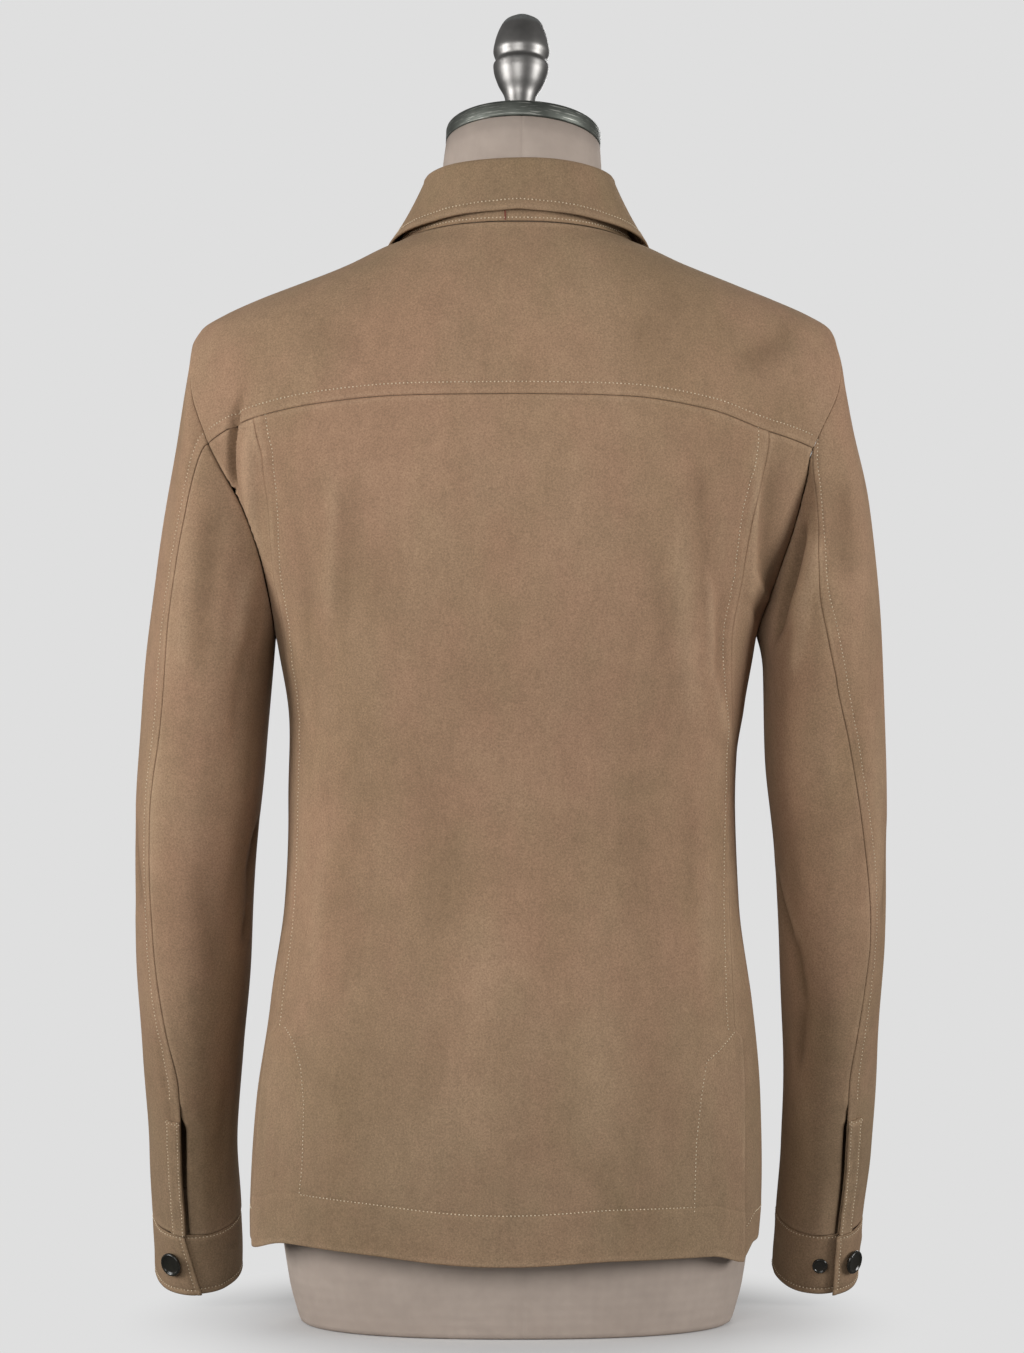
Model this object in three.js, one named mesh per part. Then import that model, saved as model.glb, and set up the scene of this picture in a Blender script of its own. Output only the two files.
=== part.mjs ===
// A suede shirt jacket worn by a limbless dress form that stands on its flat base.
// Millimetres, +Z up. The wearer's left is +X and the back of the jacket faces +Y.
// The origin is the centre of the form's base.
// The jacket is made of thin walls: each piece is a grid of points on its outer face, moved in by
// the thickness of the suede, and neighbours stop half a seam gap short of the line they share.
import * as THREE from 'three';

// Driving dimensions
const SUEDE = 1.6; // thickness of the cloth
const SEAM = 0.3; // gap between two pieces at a seam
const CORNER = 2.3; // how square the body's sections are: 2 is an ellipse
const ARMHOLE = { middle: 592, reach: 108, turn: 28 }; // height of its middle, half height, half angle
const NECK_SEAM = { side: 761, backRise: 8, frontDrop: 67 };
const YOKE = { middle: 648, left: 77, right: 79, front: -35 }; // seam height, and its ends round the armholes
const SIDE_SEAM = { top: -14, hem: -16 }; // front edge of the side panels, degrees forward of the side
const VENT = { top: 212, lap: 3.5, lift: 2.1 }; // side vents: height, degrees of lap, how far out it lies
const SLEEVE = { join: 457, cuff: 66, end: 22, slit: 152, frontSeam: -120 }; // heights down the arm
const FOLD = { x: 63.5, shift: 2.5, back: 61, front: 66, side: 804, backRise: 8, frontDrop: 80 }; // collar fold
const BAND = { half: 16, top: 690, bottom: 56.5 }; // button band: half width and its ends
const BUTTON = { radius: 8.7, height: 3.4 };
const STUD = { radius: 5.6, height: 2.6 };
const NECK_CAP = { radius: 54.8, height: 12, x: -5, y: -4, z: 829.8, pitch: 16, roll: 1.6 };

// Sections of the body of the jacket, from the hem to the neck. Between the armhole's ends they run on
// inside the sleeve, and over the shoulder the half width falls along the shoulder line.
const body = reader(['z', 'half', 'back', 'front', 'shift'], [
  [40, 178, 118, 112, 9],
  [88, 180.5, 118, 112, 7.2],
  [157, 177.7, 115, 111, 5.2],
  [226, 170, 110, 109, 3.1],
  [295, 160.4, 105, 107, 3],
  [364, 157.7, 103, 107, 3],
  [399, 158, 104, 108, 2],
  [433, 161, 108, 110, 0],
  [468, 167, 112, 112, 0],
  [484, 170, 113, 113, 0],
  [524, 186, 114, 115, 0],
  [569, 209, 112, 113, 0],
  [604, 231, 108, 108, 0],
  [620, 238, 106, 104, 0],
  [649, 243.5, 100, 95, 0],
  [669, 240, 96, 88, 0],
  [686, 231, 92, 82, 0],
  [700, 221, 88, 76, 0],
  [709, 206, 86, 71.5, 0],
  [719, 183.5, 83, 66.5, 0],
  [729, 158, 80, 61, 0],
  [744.5, 118.8, 76, 50, 0],
  [756, 94.6, 72, 37, 0],
  [761, 82, 70, 30, 0],
  [766, 73, 68.5, 24, 0],
  [771, 67, 67, 20, 0],
]);

// Seam between the back and the side panels, in degrees back from each side.
const backSeam = reader(['z', 'left', 'right'], [
  [45, 18, 27],
  [106, 18.5, 29.5],
  [162, 18.5, 28.5],
  [219, 17.5, 27],
  [300, 16, 20],
  [370, 16, 16],
  [400, 16, 17],
  [430, 16.5, 21.5],
  [466, 18, 28],
  [513, 25, 33.5],
  [568, 37.3, 41],
  [595, 42.2, 43.6],
  [612, 44.2, 45.1],
  [632, 44.3, 46.7],
]);

// How far the yoke's seam has fallen, against the share of the way from its middle to the armhole.
const yokeDrop = reader(['share', 'left', 'right'], [
  [0, 0, 0],
  [0.25, 0.03, 0.04],
  [0.5, 0.2, 0.28],
  [0.72, 0.47, 0.665],
  [0.86, 0.71, 0.835],
  [1, 1, 1],
]);

// Degrees that the armholes' seams lie behind their plain curve, round each from the top to the back.
const armholeShift = reader(['around', 'left', 'right'], [
  [0, 0, 0],
  [48, 0, 0.6],
  [79, 0, 3.5],
  [92, 0, -1.5],
  [103, 0, -6.3],
  [115, 0, -9.4],
  [130, 0, -10.4],
  [150, 0, -8],
  [180, 0, 0],
  [360, 0, 0],
]);

// Height of the hem round the body: 0 is the wearer's left side and 90 the middle of the back.
const hem = reader(['turn', 'z'], [
  [-90, 55],
  [-16, 60],
  [10, 60],
  [16, 57],
  [35, 64],
  [60, 61],
  [90, 54],
  [112, 57],
  [140, 56],
  [156, 49],
  [166, 60],
  [196, 60],
  [270, 55],
]);

// Sections of the sleeves: the middle line and half sizes at each height down the arm.
const sleeve = {
  left: reader(['z', 'x', 'half', 'y', 'deep'], [
    [15, 231.5, 32, -97, 43],
    [66, 232, 32, -81, 42],
    [114, 233.5, 31.8, -66, 43.5],
    [187, 231.6, 36.1, -44, 47.5],
    [259, 229.8, 41.1, -26, 53],
    [329, 227.4, 43, -12.5, 58],
    [398, 222.1, 45.2, -4.2, 62.5],
    [467, 216.4, 45.2, -1.5, 66],
    [534, 209.5, 43.8, -1, 64],
    [580, 204, 42.3, 0, 61],
    [630, 197, 41, 0, 58],
    [668, 191, 40.8, 0, 50],
    [687, 187.7, 41.4, 0, 44],
    [700, 185, 37, 0, 40],
  ]),
  right: reader(['z', 'x', 'half', 'y', 'deep'], [
    [15, 218.6, 31.5, -97, 43],
    [66, 220.8, 31.6, -81, 42],
    [114, 224.6, 32.5, -66, 43.5],
    [187, 225.7, 33.7, -44, 47.5],
    [259, 225.3, 37.3, -26, 53],
    [329, 223.5, 39.8, -12.5, 58],
    [398, 219, 42.8, -4.2, 62.5],
    [467, 217, 42.2, -1.5, 66],
    [534, 211, 43.6, -1, 64],
    [580, 206, 43, 0, 61],
    [630, 197, 41, 0, 58],
    [668, 190, 40.5, 0, 50],
    [687, 186, 40, 0, 44],
    [700, 185, 37, 0, 40],
  ]),
};

// Back seam of the sleeves: degrees round the arm against the row, 0 at the armhole, 1 at the armpit's
// height and 2 at the cuff.
const sleeveSeam = reader(['row', 'left', 'right'], [
  [0, 77, 79],
  [0.06, 73.2, 82.5],
  [0.2, 67.3, 85],
  [0.4, 60.8, 89.5],
  [0.6, 54.7, 93.2],
  [0.8, 52, 90.5],
  [1, 52.8, 84.5],
  [1.12, 51.4, 72],
  [1.24, 47.4, 61.3],
  [1.36, 47.8, 54.3],
  [1.46, 51.5, 50.3],
  [1.54, 57.2, 55.2],
  [1.63, 66, 63.5],
  [1.72, 78.5, 71.5],
  [1.8, 81, 71.8],
  [2, 82, 71],
]);

// Lower edge of the collar's leaf round the neck, from the point in front to the middle of the back.
const leafEdge = reader(['turn', 'x', 'y', 'z'], [
  [-88, 52, -90.4, 665.5],
  [-60, 75, -80.4, 688.5],
  [-30, 92, -53.5, 732.5],
  [-12, 95, -25, 753],
  [0, 91.5, 0, 760.3],
  [20, 79, 35.5, 766],
  [40, 58.5, 53.5, 771],
  [60, 38, 64.5, 774.5],
  [90, 0, 71.5, 777.5],
]);

// Sections of the dress form's torso. Its shoulders lie just under the yoke, which rests on them.
const formBody = reader(['z', 'half', 'back', 'front'], [
  [0, 152, 86, 84],
  [30, 160, 94, 92],
  [100, 168, 103, 98],
  [180, 164, 103, 98],
  [260, 153, 95, 95],
  [330, 147, 88, 94],
  [390, 147, 88, 97],
  [450, 153, 96, 103],
  [510, 163, 104, 106],
  [570, 176, 103, 103],
  [620, 188, 98, 95],
  [660, 197, 91, 85],
  [690, 199, 83.5, 73],
  [712, 190.5, 79.5, 62],
  [725, 159.8, 77, 55],
  [741, 119.8, 73, 44],
  [752, 95.5, 69, 33],
]);

// Turned profile of the finial above the cap: radius against height.
const FINIAL = [
  [16, 0.3],
  [16, 2.5],
  [10.5, 6],
  [9.6, 15],
  [11.2, 25.5],
  [16.4, 36],
  [19.4, 45],
  [19.9, 49.5],
  [18.2, 53.5],
  [20.2, 60.5],
  [19.2, 68],
  [16.9, 76],
  [13, 83.5],
  [7, 87.5],
];

// Materials
const suede = new THREE.MeshStandardMaterial({ color: '#93795f', roughness: 0.95 });
const horn = new THREE.MeshStandardMaterial({ color: '#2a2623', roughness: 0.35 });
const linen = new THREE.MeshStandardMaterial({ color: '#bdb0a2', roughness: 0.9 });
const castMetal = new THREE.MeshStandardMaterial({ color: '#5d5f59', roughness: 0.55, metalness: 0.8 });
const polishedMetal = new THREE.MeshStandardMaterial({ color: '#8d8d8a', roughness: 0.25, metalness: 1 });

const jacket = new THREE.Group();

// Tables

// Reads a short table at any value of its first column. The curve passes through each row without
// overshooting between them.
function reader(columns, rows) {
  const at = rows.map((row) => row[0]);
  const last = rows.length - 1;
  const curves = columns.map((name, c) => {
    const values = rows.map((row) => row[c]);
    const rise = at.slice(1).map((x, i) => (values[i + 1] - values[i]) / (x - at[i]));
    const slopes = values.map((value, i) => {
      if (i === 0) return rise[0];
      if (i === last) return rise[last - 1];
      if (rise[i - 1] * rise[i] <= 0) return 0;
      return (2 * rise[i - 1] * rise[i]) / (rise[i - 1] + rise[i]);
    });
    return { name, values, slopes };
  });
  return (x) => {
    let i = 0;
    while (i < last - 1 && x > at[i + 1]) i += 1;
    const step = at[i + 1] - at[i];
    const t = THREE.MathUtils.clamp((x - at[i]) / step, 0, 1);
    const found = {};
    for (const { name, values, slopes } of curves) {
      const bend = (1 - t) * slopes[i] - t * slopes[i + 1];
      const ease = values[i] + (values[i + 1] - values[i]) * t * t * (3 - 2 * t);
      found[name] = ease + step * t * (1 - t) * bend;
    }
    return found;
  };
}

function mix(from, to, share) {
  return from + (to - from) * share;
}

function steps(from, to, count) {
  return Array.from({ length: count + 1 }, (_, i) => mix(from, to, i / count));
}

function sine(degrees) {
  return Math.sin(THREE.MathUtils.degToRad(degrees));
}

function cosine(degrees) {
  return Math.cos(THREE.MathUtils.degToRad(degrees));
}

function signedPower(value, power) {
  return Math.sign(value) * Math.abs(value) ** power;
}

// The body of the jacket

// A spot on the body is a turn in degrees, 0 at the wearer's left and 90 at the back, and a height.
function spot(turn, z) {
  return { turn, z };
}

function ring(section, turn, z) {
  const depth = sine(turn) > 0 ? section.back : section.front;
  return new THREE.Vector3(
    (section.shift ?? 0) + section.half * signedPower(cosine(turn), 2 / CORNER),
    depth * signedPower(sine(turn), 2 / CORNER),
    z,
  );
}

function bodyPoint(turn, z) {
  return ring(body(z), turn, z);
}

// Outward direction of any surface that is a function of two numbers.
function outward(surface, u, v, stepU, stepV, hand) {
  const along = surface(u + stepU, v).sub(surface(u - stepU, v));
  const across = surface(u, v + stepV).sub(surface(u, v - stepV));
  return along.cross(across).multiplyScalar(hand).normalize();
}

function onBody({ turn, z }, lift = 0) {
  const out = outward(bodyPoint, turn, z, 1, 1.5, 1);
  return { point: bodyPoint(turn, z).addScaledVector(out, lift), out };
}

// The side of the body that a side's own angle is counted from: back from +X, or back from -X.
function sideTurn(side, degrees) {
  return side === 'left' ? degrees : 180 - degrees;
}

function armhole(side, around) {
  const z = ARMHOLE.middle + ARMHOLE.reach * cosine(around);
  const shift = armholeShift(around < 0 ? around + 360 : around)[side];
  return spot(sideTurn(side, ARMHOLE.turn * sine(around) + shift), z);
}

// Over the shoulder the two cloths that meet at the armhole share one direction through their edges,
// square to the seam and to the way through it, which dips over the shoulder and levels lower down.
function armholeOut(side, around) {
  const hand = side === 'left' ? 1 : -1;
  const ahead = armhole(side, around + 1);
  const behind = armhole(side, around - 1);
  const along = bodyPoint(ahead.turn, ahead.z).sub(bodyPoint(behind.turn, behind.z));
  const dip = 25 * (1 + cosine(around));
  const through = new THREE.Vector3(hand * cosine(dip), 0, -sine(dip));
  return along.cross(through).multiplyScalar(-hand).normalize();
}

// Towards the armpit each cloth goes back to its own outward direction.
function onArmhole(side, around, own) {
  const { turn, z } = armhole(side, around);
  const fromTop = Math.abs(around > 180 ? around - 360 : around);
  const share = THREE.MathUtils.smoothstep(fromTop, 70, 110);
  const out = armholeOut(side, around).lerp(own ?? onBody({ turn, z }).out, share).normalize();
  return { point: bodyPoint(turn, z), out };
}

function neckSeam(around) {
  const back = sine(around);
  if (back >= 0) return spot(around, NECK_SEAM.side + NECK_SEAM.backRise * back);
  const z = NECK_SEAM.side - NECK_SEAM.frontDrop * Math.abs(back) ** 1.8;
  const reach = body(NECK_SEAM.side).half * Math.abs(cosine(around)) ** (2 / CORNER);
  const lean = Math.acos((reach / body(z).half) ** (CORNER / 2));
  const degrees = THREE.MathUtils.radToDeg(lean);
  return spot(cosine(around) >= 0 ? -degrees : 180 + degrees, z);
}

function yokeCorner(side) {
  return armhole(side, YOKE[side]);
}

function yokeSeam(turn) {
  const side = turn < 90 ? 'left' : 'right';
  const corner = yokeCorner(side);
  const share = (90 - turn) / (90 - corner.turn);
  return spot(turn, mix(YOKE.middle, corner.z, yokeDrop(share)[side]));
}

function backSeamSpot(side, z) {
  return spot(sideTurn(side, backSeam(z)[side]), z);
}

function between(a, b, share) {
  return spot(mix(a.turn, b.turn, share), mix(a.z, b.z, share));
}

// Walls

// Each row of the grid is a list of { point, out } on the outer face. The wall is that face, the
// same face moved in by the thickness, and the four edges. The border stops short of the seam.
function wall(name, rows, material = suede, thickness = SUEDE, inset = SEAM / 2) {
  const rowCount = rows.length;
  const columnCount = rows[0].length;
  const outer = rows.map((row) => row.map(({ point }) => point.clone()));
  const at = (r, c) => r * columnCount + c;
  const place = (r, c) => {
    const row = THREE.MathUtils.clamp(r, 0, rowCount - 1);
    return rows[row][THREE.MathUtils.clamp(c, 0, columnCount - 1)].point;
  };
  // Moves a border point into the piece, square to the border.
  const pull = (r, c, dr, dc) => {
    const along = place(r + dc, c + dr).clone().sub(place(r - dc, c - dr)).normalize();
    const away = place(r + dr, c + dc).clone().sub(place(r, c));
    away.addScaledVector(along, -away.dot(along)).setLength(inset);
    outer[r][c].add(away);
  };
  for (let c = 0; c < columnCount; c += 1) {
    pull(0, c, 1, 0);
    pull(rowCount - 1, c, -1, 0);
  }
  for (let r = 0; r < rowCount; r += 1) {
    pull(r, 0, 0, 1);
    pull(r, columnCount - 1, 0, -1);
  }
  const positions = [];
  for (const depth of [0, thickness]) {
    for (let r = 0; r < rowCount; r += 1) {
      for (let c = 0; c < columnCount; c += 1) {
        positions.push(...outer[r][c].clone().addScaledVector(rows[r][c].out, -depth).toArray());
      }
    }
  }
  const inner = rowCount * columnCount;
  const faces = [];
  const quad = (a, b, c, d) => faces.push(a, b, c, a, c, d);
  for (let r = 0; r < rowCount - 1; r += 1) {
    for (let c = 0; c < columnCount - 1; c += 1) {
      quad(at(r, c), at(r + 1, c), at(r + 1, c + 1), at(r, c + 1));
      quad(inner + at(r, c), inner + at(r, c + 1), inner + at(r + 1, c + 1), inner + at(r + 1, c));
    }
  }
  // Opposite edges split their faces the same way, so that two pieces stay apart where a seam twists.
  const edge = (a, b) => quad(a, b, inner + b, inner + a);
  const oppositeEdge = (a, b) => quad(inner + a, a, b, inner + b);
  for (let c = 0; c < columnCount - 1; c += 1) {
    edge(at(0, c), at(0, c + 1));
    oppositeEdge(at(rowCount - 1, c + 1), at(rowCount - 1, c));
  }
  for (let r = 0; r < rowCount - 1; r += 1) {
    edge(at(r + 1, 0), at(r, 0));
    oppositeEdge(at(r, columnCount - 1), at(r + 1, columnCount - 1));
  }
  addMesh(name, closedGeometry(positions, faces), material);
}

// Makes the faces point out, whichever way the grid was listed.
function closedGeometry(positions, faces) {
  let volume = 0;
  const corner = (i) => new THREE.Vector3().fromArray(positions, 3 * faces[i]);
  for (let i = 0; i < faces.length; i += 3) {
    volume += corner(i).dot(corner(i + 1).cross(corner(i + 2)));
  }
  const geometry = new THREE.BufferGeometry();
  geometry.setAttribute('position', new THREE.Float32BufferAttribute(positions, 3));
  geometry.setIndex(volume > 0 ? faces : [...faces].reverse());
  return geometry;
}

function addMesh(name, geometry, material) {
  const mesh = new THREE.Mesh(geometry, material);
  mesh.name = name;
  jacket.add(mesh);
  return mesh;
}

// Yoke: one piece round the neck, from the left front over the back to the right front.
const YOKE_ROWS = 6;
const PANEL_TOP = 4;
const BACK_SHARES = [0, 0.05, ...steps(1 / 12, 11 / 12, 10), 0.95, 1];

function armholeTop(side) {
  return steps(-45, YOKE[side], 8);
}

function armholeLow(side) {
  return steps(YOKE[side], 210, 9);
}

function yokeOuterEdge() {
  const leftSeam = backSeamSpot('left', YOKE.middle).turn;
  const rightSeam = backSeamSpot('right', YOKE.middle).turn;
  const seamTurns = [
    ...steps(yokeCorner('left').turn, leftSeam, PANEL_TOP),
    ...BACK_SHARES.slice(1).map((share) => mix(leftSeam, rightSeam, share)),
    ...steps(rightSeam, yokeCorner('right').turn, PANEL_TOP).slice(1),
  ].slice(1, -1);
  const overArm = (side) => armholeTop(side).map((around) => ({
    at: armhole(side, around), edge: onArmhole(side, around), neck: neckFor(side, around),
  }));
  return [
    ...overArm('left'),
    ...seamTurns.map((turn) => ({ at: yokeSeam(turn), neck: neckSpread(turn) })),
    ...overArm('right').reverse(),
  ];
}

// Where along the neck each line of the yoke starts, for a line that ends on the armhole or the back.
function neckFor(side, around) {
  return sideTurn(side, around < 0 ? mix(0, YOKE.front, around / -45) : mix(0, 40, around / YOKE[side]));
}

function neckSpread(turn) {
  const [from, to] = [yokeCorner('left').turn, yokeCorner('right').turn];
  return mix(40, 140, (turn - from) / (to - from));
}

function makeYoke() {
  const columns = yokeOuterEdge();
  const rows = steps(0, 1, YOKE_ROWS).map((share) => columns.map(({ at, edge, neck }) => {
    if (share === 1 && edge) return edge;
    return onBody(between(neckSeam(neck), at, share));
  }));
  wall('yoke', rows);
}

// Back: from the yoke to the hem. Below the vents its edges lift and lap over the side panels.
const BACK_SEAM_LOW = [425, 400, 375, 345, 312, 275, 240, VENT.top, 160, 110, 60];
const BACK_SEAM_HEIGHTS = [YOKE.middle, 605, 580, 556, 533, 512, 492, 474, 452, ...BACK_SEAM_LOW];

function makeBack() {
  const vent = BACK_SEAM_HEIGHTS.indexOf(VENT.top) + 1;
  const heights = [
    ...BACK_SEAM_HEIGHTS.slice(0, vent),
    VENT.top - 7,
    VENT.top - 9,
    ...BACK_SEAM_HEIGHTS.slice(vent),
  ];
  const last = heights.length - 1;
  const rows = heights.map((z, r) => {
    const lap = r > vent ? VENT.lap : 0;
    const left = backSeamSpot('left', z).turn - lap;
    const right = backSeamSpot('right', z).turn + lap;
    return BACK_SHARES.map((share) => {
      const turn = mix(left, right, share);
      const rise = Math.min(yokeSeam(turn).z - yokeSeam(left).z, yokeSeam(turn).z - yokeSeam(right).z);
      const arched = z + Math.max(rise, 0) * THREE.MathUtils.smoothstep(z, 430, YOKE.middle);
      const fade = THREE.MathUtils.smoothstep(Math.min(share, 1 - share), 0.05, 0.25);
      const lift = r < vent ? 0 : VENT.lift * (1 - fade);
      if (r === 0) return onBody(yokeSeam(turn));
      return onBody(spot(turn, r === last ? hem(turn).z : arched), lift);
    });
  });
  wall('back', rows);
}

// Side panels: from the yoke, under the armhole and round to the front side seam.
const SIDE_LOW = [462, 425, 385, 345, 300, 255, VENT.top, 160, 110, 60];

function sideSeam(side, z) {
  const top = armhole(side, 210).z;
  return spot(sideTurn(side, mix(SIDE_SEAM.top, SIDE_SEAM.hem, (top - z) / top)), z);
}

function makeSidePanel(side) {
  const fronts = [
    ...armholeLow(side).map((around) => ({ at: armhole(side, around), edge: onArmhole(side, around) })),
    ...SIDE_LOW.map((z) => ({ at: sideSeam(side, z) })),
  ];
  const last = fronts.length - 1;
  const rows = fronts.map(({ at, edge }, r) => {
    const back = backSeamSpot(side, BACK_SEAM_HEIGHTS[r]);
    return steps(0, 1, PANEL_TOP).map((share) => {
      if (share === 1 && edge) return edge;
      const here = between(back, at, share);
      if (r === 0) return onBody(yokeSeam(here.turn));
      return onBody(r === last ? spot(here.turn, hem(here.turn).z) : here);
    });
  });
  wall(`side_panel_${side}`, rows);
}

// Fronts: from the yoke's front seam and the neck to the hem, meeting under the button band.
const NECK_FRONT = [YOKE.front, -50, -64, -78, -90];
const MIDDLE_HEIGHTS = [655, 612, 570, 525, 480, 430, 380, 330, 280, 225, 170, 110, 55];

function makeFront(side) {
  const middle = [
    ...NECK_FRONT.map((around) => neckSeam(side === 'left' ? around : 180 - around)),
    ...MIDDLE_HEIGHTS.map((z) => spot(-90, z)),
  ];
  const outer = [
    ...steps(315, 210, 7).map((around) => ({ at: armhole(side, around), edge: onArmhole(side, around) })),
    ...SIDE_LOW.map((z) => ({ at: sideSeam(side, z) })),
  ];
  const last = outer.length - 1;
  const rows = outer.map(({ at, edge }, r) => {
    const centre = { ...middle[r] };
    if (side === 'right' && centre.turn < 0) centre.turn += 360;
    return steps(0, 1, YOKE_ROWS).map((share) => {
      if (share === 0 && edge) return edge;
      const here = between(at, centre, share);
      return onBody(r === last ? spot(here.turn, hem(wrap(here.turn)).z) : here);
    });
  });
  wall(`front_${side}`, rows);
}

// The hem's table runs from the middle of the front once round to it again.
function wrap(turn) {
  return turn > 270 ? turn - 360 : turn;
}

// Button band down the middle of the front, lying on both fronts.
function frontTurn(x, z) {
  const { half, shift } = body(z);
  const across = (x - shift) / half;
  const lean = Math.acos(Math.abs(across) ** (CORNER / 2));
  return across > 0 ? -THREE.MathUtils.radToDeg(lean) : -180 + THREE.MathUtils.radToDeg(lean);
}

function makeBand() {
  const heights = [BAND.top, ...MIDDLE_HEIGHTS.slice(0, -1), BAND.bottom];
  const rows = heights.map((z) => (
    steps(BAND.half, -BAND.half, 4).map((x) => onBody(spot(frontTurn(x, z), z), SUEDE + SEAM))
  ));
  wall('front_band', rows);
}

// Collar: a stand on the neck seam, and a leaf that turns over it.
const COLLAR_FRONT = [-88.5, ...NECK_FRONT.slice(1, -1).reverse()];
const COLLAR_TURNS = [
  ...COLLAR_FRONT,
  ...steps(YOKE.front, 180 - YOKE.front, 18),
  ...COLLAR_FRONT.map((turn) => 180 - turn).reverse(),
];

function foldPoint(around) {
  const back = sine(around);
  const depth = back > 0 ? FOLD.back : FOLD.front;
  const z = back > 0
    ? FOLD.side + FOLD.backRise * back
    : FOLD.side - FOLD.frontDrop * Math.abs(back) ** 1.6;
  return new THREE.Vector3(FOLD.x * cosine(around) - FOLD.shift, depth * back, z);
}

function standPoint(around, share) {
  const seam = neckSeam(around);
  return bodyPoint(seam.turn, seam.z).lerp(foldPoint(around), share);
}

function flat(around) {
  return new THREE.Vector3(cosine(around), sine(around), 0);
}

function makeStand() {
  const rows = [1, 0.5, 0.01].map((share) => COLLAR_TURNS.map((around) => ({
    point: standPoint(around, share),
    out: flat(around),
  })));
  wall('collar_stand', rows);
}

// The leaf starts over the stand's top edge, rolls outwards and falls to its own lower edge.
const ROLL = { over: SUEDE + 0.6, out: 4.2, down: 2.5 };
const ARCH = { back: -1, front: 11 };
const LEAF_SHIFT = 1.5; // the collar sits a little to the right

function leafPoint(around, row) {
  const fold = foldPoint(around);
  const away = flat(around);
  const mirrored = around > 90 ? 180 - around : around;
  const edge = leafEdge(mirrored);
  const foot = new THREE.Vector3((around > 90 ? -edge.x : edge.x) - LEAF_SHIFT, edge.y, edge.z);
  const up = new THREE.Vector3(0, 0, 1);
  if (row === 0) return fold.addScaledVector(away, -SUEDE).addScaledVector(up, ROLL.over);
  if (row === 1) return fold.addScaledVector(away, ROLL.out / 2).addScaledVector(up, ROLL.over);
  const rolled = fold.addScaledVector(away, ROLL.out).addScaledVector(up, -ROLL.down);
  const share = (row - 2) / 3;
  const height = mix(ARCH.back, ARCH.front, THREE.MathUtils.smoothstep(-mirrored, 10, 60));
  const arch = height * 4 * share * (1 - share);
  return rolled.lerp(foot, share).addScaledVector(away, arch * 0.8).addScaledVector(up, arch * 0.6);
}

function makeLeaf() {
  const rows = steps(0, 5, 5).map((row) => COLLAR_TURNS.map((around) => {
    const point = leafPoint(around, row);
    if (row === 0) return { point, out: new THREE.Vector3(0, 0, 1) };
    const ends = [Math.max(row - 1, 0), Math.min(row + 1, 5)];
    const across = leafPoint(around, ends[1]).sub(leafPoint(around, ends[0]));
    const along = leafPoint(around + 2, row).sub(leafPoint(around - 2, row));
    return { point, out: across.cross(along).normalize() };
  }));
  wall('collar_leaf', rows);
}

// Sleeves

// An oval section square to the middle line of the arm.
function armPoint(side, around, z) {
  const hand = side === 'left' ? 1 : -1;
  const at = sleeve[side](z);
  const slope = (sleeve[side](z + 4).y - sleeve[side](z - 4).y) / 8;
  const back = at.deep * sine(around);
  return new THREE.Vector3(hand * (at.x + at.half * cosine(around)), at.y + back, z - back * slope);
}

// Row 0 is the armhole, row 1 the join below the armpit and row 2 the cuff's seam. Below the armhole
// the surface eases from the seam to the oval sections.
function sleevePoint(side, around, row) {
  if (row >= 1) return armPoint(side, around, mix(SLEEVE.join, SLEEVE.cuff, row - 1));
  const seam = armhole(side, around);
  const point = armPoint(side, around, mix(seam.z, SLEEVE.join, row));
  const miss = bodyPoint(seam.turn, seam.z).sub(armPoint(side, around, seam.z));
  return point.addScaledVector(miss, (1 - row) ** 2);
}

function onSleeve(side, around, row, lift = 0) {
  const hand = side === 'left' ? 1 : -1;
  const surface = (u, v) => sleevePoint(side, u, v);
  const out = outward(surface, around, Math.max(row, 0.01), 1, 0.01, -hand);
  if (row === 0) return onArmhole(side, around, out);
  return { point: surface(around, row).addScaledVector(out, lift), out };
}

const SLEEVE_ROWS = [0, 0.06, 0.2, 0.4, 0.6, 0.8, 1, 1.12, 1.24, 1.36, 1.48, 1.6, 1.7, 1.8, 1.9, 2];

// The stops are the sleeve's points round the armhole, the same as those of the pieces that it meets.
function makeSleeve(side) {
  const piece = (name, stops, from, to) => {
    const shares = stops.map((stop) => (stop - stops[0]) / (stops[stops.length - 1] - stops[0]));
    const rows = SLEEVE_ROWS.map((row) => (
      shares.map((share) => onSleeve(side, mix(from(row), to(row), share), row))
    ));
    wall(`${name}_${side}`, rows);
  };
  const backEdge = (row) => sleeveSeam(row)[side];
  const topStops = [...steps(SLEEVE.frontSeam, -45, 5), ...armholeTop(side).slice(1)];
  const underStops = [...armholeLow(side), ...steps(210, 360 + SLEEVE.frontSeam, 2).slice(1)];
  piece('sleeve_top', topStops, () => SLEEVE.frontSeam, backEdge);
  piece('sleeve_under', underStops, backEdge, () => 360 + SLEEVE.frontSeam);
}

// Placket: a narrow strip on the top sleeve, beside the slit above the cuff.
function makePlacket(side) {
  const rows = steps(SLEEVE.slit, SLEEVE.cuff, 4).map((z) => {
    const row = 1 + (SLEEVE.join - z) / (SLEEVE.join - SLEEVE.cuff);
    const slit = sleeveSeam(row)[side];
    return steps(slit - 20, slit, 3).map((around) => onSleeve(side, around, row, SUEDE + SEAM));
  });
  wall(`sleeve_placket_${side}`, rows);
}

// Cuffs: a band that starts under the slit, runs round the wrist and ends as a tab over its own start.
// The right one is unfastened, so its tab stops short and stands off.
const CUFF = {
  left: { under: 58, over: 79, overHem: 100, stand: 1.3 },
  right: { under: 56, over: 74, overHem: 74, stand: 3.5 },
};

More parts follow.
